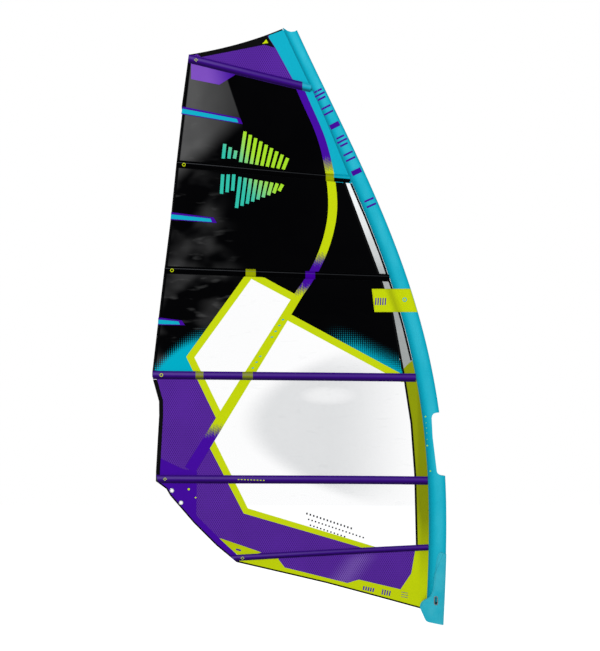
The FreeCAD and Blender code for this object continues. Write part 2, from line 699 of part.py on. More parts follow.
# ============================== clew eyelets ===============================================
def clew_eyelets():
    """Spool-shaped pressed rings, one per eyelet, with a waist that holds the clew patch."""
    rings = []
    for x, z in EYELETS:
        middle = sail_y(x, z) + FRONT_FACE + PATCH_T / 2
        outer = Part.makeCylinder(EYELET_OUTER_R, EYELET_H, V(x, middle - EYELET_H / 2, z), V(0, 1, 0))
        outer = outer.makeFillet(2.0, [e for e in outer.Edges if e.Curve.TypeId.endswith("Circle")])
        waist_h = PATCH_T + EYELET_GRIP
        groove = Part.makeCylinder(EYELET_OUTER_R + 2, waist_h, V(x, middle - waist_h / 2, z), V(0, 1, 0))
        groove = groove.cut(Part.makeCylinder(EYELET_WAIST_R, waist_h, V(x, middle - waist_h / 2, z),
                                              V(0, 1, 0)))
        hole = Part.makeCylinder(EYELET_HOLE_R, 40, V(x, middle - 20, z), V(0, 1, 0))
        rings += outer.cut(groove).cut(hole).Solids
    return rings


def with_eyelet_holes(solids):
    for x, z in EYELETS:
        hole = Part.makeCylinder(EYELET_WAIST_R + 0.2, 100, V(x, -50, z), V(0, 1, 0))
        solids = [s for solid in solids for s in solid.cut(hole).Solids]
    return solids


# ============================== tack fairing and flap ======================================
def fairing_tube(inset, tail):
    wires = []
    for i in range(9):
        z = -20.0 + 640.0 * i / 8
        k = smooth(z, *FAIRING_BLEND)
        width = FAIRING_W + (FAIRING_SNUG[0] - FAIRING_W) * k
        thick = FAIRING_H + (FAIRING_SNUG[1] - FAIRING_H) * k
        wires.append(tube_wire(z, FAIRING_LEAD, width, thick, inset, tail))
    return Part.makeLoft(wires, True, False)


def fairing_outline():
    """Side view: a rounded heel behind the mast foot and a tongue up the front of the sleeve."""
    heel = [(-157, 138), (-147, 180), (-104, 211)]
    toe = [(-116, 48), (-105, 34), (-87, 27)]
    tongue = [(-104, 211), (-71, 242), (-55, 282), (-44, 352), (-33, 465), (-20, 545), (5, 580),
              (40, 564)]
    rest = [toe[-1], (27, 5), (200, 5), (200, tongue[-1][1]), tongue[-1]]
    return face_of([Part.Arc(*[point(p) for p in a]).toShape() for a in (heel, toe)]
                   + [curve(tongue)] + lines([heel[0], toe[0]]) + lines(rest))


def side_slab(low, high):
    moved = SHEET.copy()
    moved.translate(V(0, low, 0))
    return moved.extrude(V(0, high - low, 0))


def stadium(x, z, width, height):
    r = width / 2
    top, bottom = z + height / 2 - r, z - height / 2 + r
    arcs = [Part.Arc(point((x - r, top)), point((x, top + r)), point((x + r, top))).toShape(),
            Part.Arc(point((x - r, bottom)), point((x, bottom - r)), point((x + r, bottom))).toShape()]
    return face_of(arcs + lines([(x - r, top), (x - r, bottom)]) + lines([(x + r, top), (x + r, bottom)]))


def tack_nodes():
    outer = fairing_tube(0.0, 0.0)
    shell = outer.cut(fairing_tube(FAIRING_T, 10.0)).common(prism(fairing_outline()))
    room = side_slab(-1.2, 3.6).common(prism(box2d(-400, TACK_TONGUE_X - 30, 0, 400)))
    shell = shell.cut(room)
    x, z, width, height, rim = OVAL
    flap = shell.common(side_slab(-120, -0.5)).cut(prism(stadium(x, z, width, height)))
    ring = stadium(x, z, width - 0.2, height - 0.2).cut(stadium(x, z, width - 2 * rim, height - 2 * rim))
    band = fairing_tube(-1.5, 0.0).cut(fairing_tube(FAIRING_T + 1.0, 10.0))
    eyelet = band.common(prism(ring)).common(side_slab(-120, -0.5))
    return {"tack_fairing": shell.common(side_slab(0.5, 120)).Solids, "tack_flap": flap.Solids,
            "flap_eyelet": eyelet.Solids}


# ============================== tack pulley ================================================
def pulley_y():
    return sail_y(PULLEY_X, PULLEY_BAR_Z)


def rod_y(radius, y0, y1, x, z):
    return Part.makeCylinder(radius, y1 - y0, V(x, y0, z), V(0, 1, 0))


def pulley_frame():
    """Two cheeks under a bridge plate with a window, crossed by the bar that the strap holds."""
    yc = pulley_y()
    half, radius = CHEEK_IN + CHEEK_T, 13.0
    height = PULLEY_BAR_Z - PULLEY_PIN_Z
    parts = []
    for side in (-1, 1):
        y0 = yc + side * CHEEK_IN - (CHEEK_T if side < 0 else 0)
        cheek = rod_y(radius, y0, y0 + CHEEK_T, PULLEY_X, PULLEY_PIN_Z)
        cheek = cheek.fuse(Part.makeBox(2 * radius, CHEEK_T, height, V(PULLEY_X - radius, y0, PULLEY_PIN_Z)))
        parts.append(cheek.cut(rod_y(PIN_R + 0.05, y0 - 1, y0 + CHEEK_T + 1, PULLEY_X, PULLEY_PIN_Z)))
    end = 3.0
    for side in (-1, 1):
        x0 = PULLEY_X + side * (radius + end / 2) - end / 2
        parts.append(Part.makeBox(end, 2 * half, 9, V(x0, yc - half, PULLEY_BAR_Z - 4.5)))
    bar = Part.makeCylinder(BAR_R, 2 * radius, V(PULLEY_X - radius, yc, PULLEY_BAR_Z), V(1, 0, 0))
    frame = joined(parts + [bar]).removeSplitter()
    pin = rod_y(PIN_R, yc - half - 0.2, yc + half + 0.2, PULLEY_X, PULLEY_PIN_Z)
    for side in (-1, 1):
        y0 = yc + side * (half + 0.2) - (1.2 if side < 0 else 0)
        pin = pin.fuse(rod_y(5.0, y0, y0 + 1.2, PULLEY_X, PULLEY_PIN_Z))
    return frame.Solids + pin.removeSplitter().Solids


def sheave(k):
    """Grooved roller number k of three on one pin."""
    yc = pulley_y() + (k - 2) * SHEAVE_PITCH
    h = SHEAVE_W / 2
    body = rod_y(SHEAVE_R, yc - h, yc + h, PULLEY_X, PULLEY_PIN_Z)
    groove = Part.makeTorus(SHEAVE_R + 0.8, 3.0, V(PULLEY_X, yc, PULLEY_PIN_Z), V(0, 1, 0))
    return body.cut(groove).cut(rod_y(PIN_R + 0.08, yc - h - 1, yc + h + 1, PULLEY_X, PULLEY_PIN_Z)).Solids


def tack_webbing():
    """A strap that loops under the pulley's bar and runs up both sides of the tack corner."""
    yc = pulley_y()
    inner, outer = BAR_R + 0.4, BAR_R + 0.4 + STRAP_T
    x0 = PULLEY_X - STRAP_W / 2 + 1.5
    wide = STRAP_W - 3.0
    turn = Part.makeCylinder(outer, wide, V(x0, yc, PULLEY_BAR_Z), V(1, 0, 0))
    turn = turn.cut(Part.makeCylinder(inner, wide, V(x0, yc, PULLEY_BAR_Z), V(1, 0, 0)))
    turn = turn.cut(Part.makeBox(wide, 2 * outer, outer, V(x0, yc - outer, PULLEY_BAR_Z)))
    parts = [turn]
    near = 4.4
    for side in (-1, 1):
        profile = [(inner, PULLEY_BAR_Z), (outer, PULLEY_BAR_Z), (near + STRAP_T, 122), (near + STRAP_T, 180),
                   (near, 180), (near, 122)]
        corners = [V(x0, yc + side * y, z) for y, z in profile]
        parts.append(Part.Face(Part.makePolygon(corners + [corners[0]])).extrude(V(wide, 0, 0)))
    return joined(parts).removeSplitter().Solids


# ============================== head cap ===================================================
def head_cap():
    """A socket for the mast's tip, on a web that is sewn into the sleeve's rear seam."""
    up = luff_direction(CAP_Z)
    mouth = V(luff_x(CAP_Z) - CAP_AXIS, 0, CAP_Z)
    mouth.y = sail_y(mouth.x, CAP_Z)
    cup = Part.makeCylinder(CAP_R, CAP_LEN, mouth, up)
    bore = Part.makeCylinder(CAP_BORE_R, CAP_DEPTH, mouth, up)
    corners = [(15, 9), (CAP_LEN - 2, 0), (CAP_LEN + 40, 53), (0, 53)]
    web = [(mouth.x + up.x * rise - up.z * back, mouth.z + up.z * rise + up.x * back)
           for rise, back in corners]
    plate = side_slab(-1.0, 1.0).common(prism(polygon(web)))
    return cup.fuse(plate).cut(bore).Solids


# ============================== writing the nodes ==========================================
def write(name, solids):
    shape = solids[0] if len(solids) == 1 else Part.makeCompound(solids)
    shape.exportStep(f"parts/{name}.step")
    print(f"{name}: {len(solids)} solids, valid {all(s.isValid() for s in solids)}, "
          f"{sum(s.Volume for s in solids) / 1000:.1f} cm3")


def main():
    os.makedirs("parts", exist_ok=True)
    nodes = sheet_nodes()
    nodes["clew_patch"] = with_eyelet_holes(nodes["clew_patch"])
    nodes["seam_tapes_lower"] = with_eyelet_holes(nodes["seam_tapes_lower"])
    nodes.update(sleeve_nodes())
    nodes["sleeve_label"] = sleeve_label()
    for n in BATTENS:
        nodes[f"batten_{n}"] = batten(n)
        nodes[f"tension_screw_{n}"] = tension_screw(n)
        nodes[f"tension_slider_{n}"] = tension_slider(n)
    nodes["batten_pockets_head"] = pocket(1) + pocket(2)
    nodes["batten_pocket_3"] = pocket(3)
    nodes["batten_pocket_4"] = pocket(4)
    nodes["batten_pockets_lower"] = pocket(5) + pocket(6)
    nodes["tensioner_housings_head"] = tensioner_housing(1) + tensioner_housing(2)
    nodes["tensioner_housing_3"] = tensioner_housing(3)
    nodes["tensioner_housing_4"] = tensioner_housing(4)
    nodes["tensioner_housings_lower"] = tensioner_housing(5) + tensioner_housing(6)
    for n in MINI_BATTENS:
        nodes[f"mini_batten_{n}"] = mini_batten(n)
    nodes["clew_eyelets"] = clew_eyelets()
    nodes.update(tack_nodes())
    nodes["pulley_frame"] = pulley_frame()
    for k in (1, 2, 3):
        nodes[f"pulley_sheave_{k}"] = sheave(k)
    nodes["tack_webbing"] = tack_webbing()
    nodes["head_cap"] = head_cap()
    for name, solids in nodes.items():
        write(name, solids)
    print(len(nodes), "nodes")


main()
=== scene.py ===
"""Looks of the windsurf sail: cloth, film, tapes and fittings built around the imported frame."""

import json
import math

import bmesh
import bpy
import numpy as np
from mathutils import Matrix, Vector
from mathutils.geometry import delaunay_2d_cdt

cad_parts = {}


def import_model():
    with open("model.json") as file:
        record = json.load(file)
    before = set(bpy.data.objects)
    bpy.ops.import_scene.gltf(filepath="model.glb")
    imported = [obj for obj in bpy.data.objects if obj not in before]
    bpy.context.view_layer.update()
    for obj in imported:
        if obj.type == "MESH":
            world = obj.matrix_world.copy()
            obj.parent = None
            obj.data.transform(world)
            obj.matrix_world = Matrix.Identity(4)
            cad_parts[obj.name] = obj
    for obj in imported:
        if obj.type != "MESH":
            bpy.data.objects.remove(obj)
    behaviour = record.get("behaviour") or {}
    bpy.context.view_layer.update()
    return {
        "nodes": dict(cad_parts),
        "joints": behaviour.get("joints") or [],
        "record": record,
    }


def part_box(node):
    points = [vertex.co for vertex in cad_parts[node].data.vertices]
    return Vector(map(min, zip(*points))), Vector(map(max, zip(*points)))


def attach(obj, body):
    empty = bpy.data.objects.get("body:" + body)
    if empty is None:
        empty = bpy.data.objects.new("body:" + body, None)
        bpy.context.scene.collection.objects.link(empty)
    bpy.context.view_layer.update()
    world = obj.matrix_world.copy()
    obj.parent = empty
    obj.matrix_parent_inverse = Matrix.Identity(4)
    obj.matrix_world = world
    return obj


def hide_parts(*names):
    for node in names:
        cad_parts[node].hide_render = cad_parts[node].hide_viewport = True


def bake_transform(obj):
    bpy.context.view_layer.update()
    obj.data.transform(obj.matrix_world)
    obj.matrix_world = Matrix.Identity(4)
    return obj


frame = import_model()

MM = 0.001

# ---- the sail's surface, as in CAD
LUFF = (25.5, 48.8, 2.6, -31.4, 3.73)
LEECH_REF = (-2.330, 0.075)
BELLY_ENDS, BELLY_MORE = 0.025, 0.080
BELLY_FOOT, BELLY_SPAN = 0.5, 5.6
CUBIC_PEAK = 6.75                     # makes the cubic s (1 - s)^2 peak at 1
SLEEVE_W, SLEEVE_W_HEAD = 0.138, 0.105
SLEEVE_TAPER = (3.450, 4.250)
SLEEVE_RATIO = 0.41
FRONT_FACE = -0.3 * MM
SHEET_GRID = 0.026
PILLOW = 7 * MM                       # how far the sail puffs out between two battens


def luff_x(z):
    """x of the sleeve's front edge at height z."""
    return MM * sum(c * z ** i for i, c in enumerate(LUFF))


def chord(z):
    """Distance from the front edge back to the leech at height z."""
    return luff_x(z) - LEECH_REF[0] - LEECH_REF[1] * z


def sail_y(x, z):
    """y of the sail's mean surface."""
    depth = BELLY_ENDS + BELLY_MORE * np.sin(math.pi * (z + BELLY_FOOT) / BELLY_SPAN)
    s = (luff_x(z) - x) / chord(z)
    return depth * CUBIC_PEAK * s * (1 - s) ** 2


def smooth(value, low, high):
    """0 below low, 1 above high, with a smooth change between."""
    t = np.clip((value - low) / (high - low), 0, 1)
    return t * t * (3 - 2 * t)


def sleeve_width(z):
    return SLEEVE_W + (SLEEVE_W_HEAD - SLEEVE_W) * smooth(z, *SLEEVE_TAPER)


def rear_x(z):
    return luff_x(z) - sleeve_width(z)


def aerofoil(q, thickness):
    """Half thickness of a round-nosed, sharp-tailed section at the share q of its width."""
    q = np.clip(q, 0, 1)
    return 5 * thickness * (0.2969 * np.sqrt(q) - 0.1260 * q - 0.3516 * q ** 2
                            + 0.2843 * q ** 3 - 0.1015 * q ** 4)


# ---- battens, read from the frame
JOINTS = {j["name"]: j for j in frame["joints"]}
# pocket: (half width, body, CAD node)
POCKETS = {1: (0.034, "head_sail", "batten_pockets_head"), 2: (0.030, "head_sail", "batten_pockets_head"),
           3: (0.030, "upper_sail", "batten_pocket_3"), 4: (0.033, "middle_sail", "batten_pocket_4"),
           5: (0.033, "lower_sail", "batten_pockets_lower"), 6: (0.024, "lower_sail", "batten_pockets_lower")}
POCKET_HALF, BODY_OF, POCKET_NODE = ({n: row[i] for n, row in POCKETS.items()} for i in range(3))
BLACK_POCKETS = (2, 3)
CUT_GAP = 3 * MM                      # a cut between sections lies this far below its pocket
SECTIONS = ["lower_sail", "middle_sail", "upper_sail", "head_sail"]
CUT_BELOW = {"middle_sail": 4, "upper_sail": 3, "head_sail": 2}
CUT_ABOVE = {"lower_sail": 4, "middle_sail": 3, "upper_sail": 2}


TIP_HALF = 6.5 * MM                   # half height of a batten's tip


def batten_line(n):
    """(leech end, luff end) of batten n's axis, as (x, z)."""
    joint = JOINTS[f"tension_screw_{n}_turn"]
    low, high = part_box(f"batten_{n}")
    x0, _, z0 = joint["pos_m"]
    rises = joint["axis"][2] > 0
    return np.array((x0, z0)), np.array((high.x, high.z - TIP_HALF if rises else low.z + TIP_HALF))


BATTEN = {n: batten_line(n) for n in POCKET_HALF}
TIP_REACH = 58 * MM                   # how far a batten's tip goes into the sleeve


def batten_z(n, x):
    """Height of batten n's axis at x."""
    (x0, z0), (x1, z1) = BATTEN[n]
    return z0 + (z1 - z0) * (x - x0) / (x1 - x0)


def cut_z(n, x):
    """Height of the cut between two sections, below batten n."""
    return batten_z(n, x) - POCKET_HALF[n] - CUT_GAP


def on_cuts(loop):
    """The loop with the points beside a cut moved onto it, so that two sections meet there."""
    loop = loop.copy()
    for n in CUT_BELOW.values():
        gap = loop[:, 1] - cut_z(n, loop[:, 0])
        near = np.abs(gap) < CUT_GAP + 0.2 * MM
        loop[near, 1] -= gap[near]
    return loop


def pillow(x, z):
    """Puff of the cloth between neighbouring battens: none at a batten, the leech or the sleeve."""
    lift = np.zeros_like(x)
    for low, high in zip(range(6, 1, -1), range(5, 0, -1)):
        bottom = batten_z(low, x) + POCKET_HALF[low]
        top = batten_z(high, x) - POCKET_HALF[high]
        t = np.clip((z - bottom) / np.maximum(top - bottom, 1e-6), 0, 1)
        lift = np.maximum(lift, 4 * t * (1 - t))
    from_sleeve = smooth(rear_x(z) - x, 0.0, 0.45)
    from_leech = smooth(x - (rear_x(z) - 2.1), 0.1, 0.8)
    return PILLOW * lift * from_sleeve * from_leech


def sheet_y(x, z):
    """y of the sheet's -Y face, with its puffs."""
    return sail_y(x, z) + FRONT_FACE + pillow(x, z)


# ---- meshes from flat outlines
def loops_of(edges):
    """Chains directed edges into closed loops of vertex numbers."""
    after = {}
    for a, b in edges:
        after.setdefault(a, []).append(b)
    loops = []
    while after:
        start = next(iter(after))
        loop, at = [start], after[start].pop()
        while at != start:
            if not after[loop[-1]]:
                del after[loop[-1]]
            loop.append(at)
            at = after[at].pop()
        if not after[loop[-1]]:
            del after[loop[-1]]
        loops.append(loop)
    return loops


def front_sheets(node):
    """Each piece of sheet in a CAD node: its outline loops as (x, z) arrays, and its thickness."""
    mesh = frame["nodes"][node].data
    co = np.array([v.co for v in mesh.vertices])
    tris = np.array([p.vertices[:] for p in mesh.polygons])
    a, b, c = (co[tris[:, i]] for i in range(3))
    normal = np.cross(b - a, c - a)
    length = np.linalg.norm(normal, axis=1)
    tris, normal = tris[length > 1e-12], normal[length > 1e-12]
    facing = normal[:, 1] / np.linalg.norm(normal, axis=1)
    parent = list(range(len(co)))

    def root(i):
        while parent[i] != i:
            parent[i] = parent[parent[i]]
            i = parent[i]
        return i

    for i, j, k in tris:
        parent[root(i)] = root(j)
        parent[root(k)] = root(j)
    groups, behind = {}, {}
    for tri, f in zip(tris, facing):
        if abs(f) > 0.6:
            (groups if f < 0 else behind).setdefault(root(tri[0]), []).append(tri)
    back = np.unique([v for g in behind.values() for t in g for v in t])
    pieces = []
    for group in groups.values():
        edges = {(t[i], t[(i + 1) % 3]) for t in group for i in range(3)}
        rim = [e for e in edges if (e[1], e[0]) not in edges]
        outline = [co[loop][:, [0, 2]] for loop in loops_of(rim)]
        first = co[rim[0][0]]
        nearest = back[np.argmin(((co[back][:, [0, 2]] - first[[0, 2]]) ** 2).sum(1))]
        pieces.append((outline, co[nearest][1] - first[1]))
    return pieces


def inside(points, loops):
    """Even-odd test of points against closed loops."""
    odd = np.zeros(len(points), bool)
    px, pz = points[:, 0], points[:, 1]
    for loop in loops:
        for (x0, z0), (x1, z1) in zip(loop, np.roll(loop, -1, axis=0)):
            if z0 == z1:
                continue
            crosses = (z0 > pz) != (z1 > pz)
            odd ^= crosses & (px < x0 + (pz - z0) * (x1 - x0) / (z1 - z0))
    return odd


def split_edges(path, step):
    """An open path with its edges split to at most a step."""
    out = []
    for p, q in zip(path, path[1:]):
        count = max(1, int(math.ceil(np.hypot(*(q - p)) / step)))
        out += [p + (q - p) * i / count for i in range(count)]
    return np.array(out + [path[-1]])


def tidy_loop(loop, step):
    """Drops points that nearly coincide, and splits edges longer than a step."""
    kept = [loop[0]]
    for p in loop[1:]:
        if np.hypot(*(p - kept[-1])) > step * 0.02:
            kept.append(p)
    if len(kept) > 1 and np.hypot(*(kept[0] - kept[-1])) < step * 0.02:
        kept.pop()
    return split_edges(kept + kept[:1], step)[:-1]


def grown(loop, distance):
    """The loop with every point moved outwards by distance (inwards on a hole)."""
    before, after = np.roll(loop, 1, axis=0), np.roll(loop, -1, axis=0)
    tangents = []
    for a, b in ((before, loop), (loop, after)):
        step = b - a
        tangents.append(step / np.maximum(np.hypot(step[:, 0], step[:, 1]), 1e-9)[:, None])
    mean = tangents[0] + tangents[1]
    size = np.maximum(np.hypot(mean[:, 0], mean[:, 1]), 0.5)[:, None]
    mean /= size
    outward = np.stack([mean[:, 1], -mean[:, 0]], axis=1)
    return loop + outward * distance


def triangulate(loops, step):
    """Even triangles over the area between loops: (points, triangles)."""
    loops = [tidy_loop(loop, step) for loop in loops]
    rim = np.vstack(loops)
    low, high = rim.min(0), rim.max(0)
    rows = []
    for j in range(int((high[1] - low[1]) / (step * 0.87)) + 2):
        z = low[1] + j * step * 0.87
        shift = 0.5 * step * (j % 2)
        xs = np.arange(low[0] + shift, high[0] + step, step)
        rows.append(np.stack([xs, np.full_like(xs, z)], axis=1))
    grid = np.vstack(rows)
    grid = grid[inside(grid, loops)]
    if len(grid):
        near = np.full(len(grid), np.inf)
        for p in rim:
            near = np.minimum(near, ((grid - p) ** 2).sum(1))
        grid = grid[near > (0.55 * step) ** 2]
    points = [Vector(p) for p in np.vstack([rim, grid])]
    edges, base = [], 0
    for loop in loops:
        edges += [(base + i, base + (i + 1) % len(loop)) for i in range(len(loop))]
        base += len(loop)
    verts, _, faces, _, _, _ = delaunay_2d_cdt(points, edges, [], 0, 1e-7)
    verts = np.array([v[:] for v in verts])
    faces = np.array([f[:] for f in faces if len(f) == 3])
    middle = verts[faces].mean(1)
    return verts, faces[inside(middle, loops)]


def rim_of(faces):
    """Directed edges that only one triangle has."""
    edges = {(int(f[i]), int(f[(i + 1) % 3])) for f in faces for i in range(3)}
    return sorted(e for e in edges if (e[1], e[0]) not in edges)


def mesh_object(name, co, polys, material, sharp=True):
    """A mesh with its rest position kept for the patterns of its material."""
    mesh = bpy.data.meshes.new(name)
    mesh.from_pydata([tuple(p) for p in co], [], [tuple(int(i) for i in p) for p in polys])
    mesh.validate()
    mesh.update()
    rest = mesh.attributes.new("rest", "FLOAT_VECTOR", "POINT")
    rest.data.foreach_set("vector", np.array([v.co for v in mesh.vertices], np.float32).ravel())
    mesh.shade_smooth()
    if sharp:
        mesh.set_sharp_from_angle(angle=math.radians(40))
    obj = bpy.data.objects.new(name, mesh)
    bpy.context.scene.collection.objects.link(obj)
    mesh.materials.append(material)
    return obj


def skin_between(name, outer, inner, faces, material, across=None):
    """A closed skin between two point sets that share their triangles."""
    count = len(outer)
    polys = [tuple(f) for f in faces]
    polys += [tuple(int(i) + count for i in f[::-1]) for f in faces]
    polys += [(b, a, a + count, b + count) for a, b in rim_of(faces)]
    obj = mesh_object(name, np.vstack([outer, inner]), polys, MAT[material])
    if across is not None:
        values = obj.data.attributes.new("across", "FLOAT", "POINT")
        values.data.foreach_set("value", np.tile(across, 2).astype(np.float32))
    return obj


def merged(name, objects):
    """Joins mesh objects into one piece, keeping their materials."""
    bpy.ops.object.select_all(action="DESELECT")
    for o in objects:
        o.select_set(True)
    bpy.context.view_layer.objects.active = objects[0]
    if len(objects) > 1:
        bpy.ops.object.join()
    objects[0].name = name
    return objects[0]


def placed(piece, move, body, node=None):
    """Takes a CAD node's place if given one, and rides or follows its body."""
    if node:
        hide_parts(node)
    move(piece, body)


# ---- material building blocks
class Value:
    """A number that varies over a surface: it adds, multiplies and steps into patterns."""

    def __init__(self, shader, socket):
        self.shader, self.socket = shader, socket

    def __add__(self, other):
        return self.shader.math("ADD", self, other)

    def __mul__(self, other):
        return self.shader.math("MULTIPLY", self, other)

    def step(self, low, high, to_low=0.0, to_high=1.0):
        """Smooth change from to_low at low to to_high at high."""
        node = self.shader.node("MapRange")
        node.interpolation_type = "SMOOTHSTEP"
        for key, value in (("Value", self), ("From Min", low), ("From Max", high),
                           ("To Min", to_low), ("To Max", to_high)):
            self.shader.link(value, node.inputs[key])
        return Value(self.shader, node.outputs["Result"])

    def window(self, low, high, soft):
        """1 where the value lies between low and high."""
        return self.step(low - soft, low + soft) * self.step(high + soft, high - soft)

    def wave(self, pitch):
        """A cosine wave from 0 to 1 along the value."""
        return self.shader.math("COSINE", self * (2 * math.pi / pitch)) * 0.5 + 0.5

    def squared(self):
        return self.shader.math("POWER", self.shader.math("ABSOLUTE", self), 2.0)


class Shader:
    """A node material around one Principled BSDF, with short calls for patterns."""

    def __init__(self, name, roughness=0.6, metallic=0.0, specular=0.3, cad=False):
        self.material = bpy.data.materials.new(name)
        self.material.use_nodes = True
        self.tree = self.material.node_tree
        self.bsdf = self.tree.nodes["Principled BSDF"]
        for key, value in (("Roughness", roughness), ("Metallic", metallic),
                           ("Specular IOR Level", specular)):
            self.bsdf.inputs[key].default_value = value
        self.place = self.output("TexCoord", "Object") if cad else self.stored("rest", "Vector")
        split = self.node("SeparateXYZ")
        self.link(self.place, split.inputs[0])
        self.x, self.y, self.z = (Value(self, output) for output in split.outputs)

    def node(self, kind):
        return self.tree.nodes.new("ShaderNode" + kind)

    def output(self, kind, key):
        return Value(self, self.node(kind).outputs[key])

    def stored(self, name, key):
        """A value stored on the points of the mesh."""
        node = self.node("Attribute")
        node.attribute_name = name
        return Value(self, node.outputs[key])

    def across(self):
        """The value from -1 to 1 stored across a tube or a pocket."""
        return self.stored("across", "Fac")

    def link(self, source, target):
        if isinstance(source, Value):
            self.tree.links.new(source.socket, target)
        else:
            target.default_value = source

    def math(self, operation, a, b=0.0, c=0.0, clamp=False):
        node = self.node("Math")
        node.operation, node.use_clamp = operation, clamp
        for value, socket in zip((a, b, c), node.inputs):
            self.link(value, socket)
        return Value(self, node.outputs[0])

    def line(self, along_x, along_z, offset):
        """along_x * x + along_z * z + offset."""
        return self.x * along_x + self.z * along_z + offset

    def ellipse(self, x, z, half_x, half_z):
        """1 at the middle of an ellipse, falling to 0 at its rim."""
        far = ((self.x + -x) * (1 / half_x)).squared() + ((self.z + -z) * (1 / half_z)).squared()
        return far.step(1.0, 0.0)

    def noise(self, scale, detail=3.0, rough=0.5, stretch=(1, 1, 1)):
        place = self.node("Mapping")
        place.inputs["Scale"].default_value = stretch
        self.link(self.place, place.inputs["Vector"])
        node = self.node("TexNoise")
        for key, value in (("Scale", scale), ("Detail", detail), ("Roughness", rough)):
            node.inputs[key].default_value = value
        self.tree.links.new(place.outputs[0], node.inputs["Vector"])
        return Value(self, node.outputs[0])

    def weave(self, pitch):
        """Height of a plain weave: two crossing thread directions."""
        return self.math("MAXIMUM", self.x.wave(pitch), self.z.wave(pitch))

    def mix(self, share, a, b):
        node = self.node("Mix")
        node.data_type = "RGBA"
        for value, index in ((share, 0), (a, 6), (b, 7)):
            self.link((*value, 1.0) if isinstance(value, tuple) else value, node.inputs[index])
        return Value(self, node.outputs[2])

    def color(self, value):
        self.link(value, self.bsdf.inputs["Base Color"])

    def roughness(self, value):
        self.link(value, self.bsdf.inputs["Roughness"])

    def relief(self, height, distance, strength=1.0):
        """Bumps the surface by height times distance, and gives the finished material."""
        node = self.node("Bump")
        node.inputs["Distance"].default_value = distance
        node.inputs["Strength"].default_value = strength
        self.link(height, node.inputs["Height"])
        self.tree.links.new(node.outputs[0], self.bsdf.inputs["Normal"])
        return self.material

    def cloth(self, base, dirt, height, distance=0.0002, strength=0.5):
        """A cloth's colour, darkened by dirt, with its relief."""
        self.color(self.mix(dirt, base, (0, 0, 0)))
        return self.relief(height, distance, strength)


def srgb(r, g, b):
    """Linear colour of an sRGB triple from 0 to 255."""
    return tuple(c / 3294.6 if c <= 10 else ((c / 255 + 0.055) / 1.055) ** 2.4 for c in (r, g, b))


def shaded(color, share):
    return tuple(c * share for c in color)


PURPLE, PURPLE_MESH, PURPLE_DARK = srgb(64, 0, 152), srgb(84, 36, 150), srgb(44, 6, 96)
POCKET_PURPLE = srgb(52, 0, 122)
YELLOW, OLIVE, OLIVE_PRINT = srgb(191, 207, 0), srgb(128, 138, 0), srgb(150, 160, 0)
CYAN, CYAN_PAINTED_HIGHLIGHT = srgb(0, 164, 188), srgb(70, 195, 214)
TEAL, LIME = srgb(44, 180, 158), srgb(158, 212, 36)
BLACK = srgb(1, 1, 2)


def woven(name, base, pitch, vary, roughness):
    """Sailcloth of one colour: plain weave, slight shade changes."""
    s = Shader(name, roughness, specular=0.08)
    threads = s.weave(pitch)
    cloud = s.noise(3.0, 4.0).step(0.3, 0.7)
    s.color(s.mix((cloud + threads) * 0.5, shaded(base, 1 - vary), base))
    return s.relief(threads * 0.5 + s.noise(900.0, 2.0), 0.0002, 0.5)


def hex_dots(s, pitch):
    """Round dots in a hexagonal grid, 1 at their middles."""
    row = pitch * math.sqrt(3)
    grids = []
    for shift in (0.0, 0.5):
        cx = s.math("COSINE", (s.x + shift * pitch) * (2 * math.pi / pitch))
        cz = s.math("COSINE", (s.z + shift * row) * (2 * math.pi / row))
        grids.append((cx + cz) * 0.25 + 0.5)
    return s.math("MAXIMUM", *grids)


def xply_material():
    """Purple laminate with a fine dark net between two films, and a slanted highlight painted at the foot."""
    s = Shader("purple_xply", 0.32, specular=0.10)
    dots = hex_dots(s, 0.0165).step(0.62, 0.90)
    base = s.mix(s.noise(2.2, 4.0).step(0.3, 0.7), PURPLE_MESH, shaded(PURPLE_MESH, 1.12))
    # painted highlight: a slanted pale band across the laminate at the foot
    painted_highlight = s.line(1.0, -0.75, 1.02).window(-0.08, 0.06, 0.10) * s.z.window(0.25, 0.56, 0.06)
    base = s.mix(painted_highlight * 0.30, base, srgb(170, 140, 215))
    s.color(s.mix(dots * 0.85, base, PURPLE_DARK))
    s.roughness(dots.step(0, 1, 0.28, 0.5))
    return s.relief(dots * 0.6 + s.noise(14.0, 4.0) * 1.4, 0.0005, 0.5)


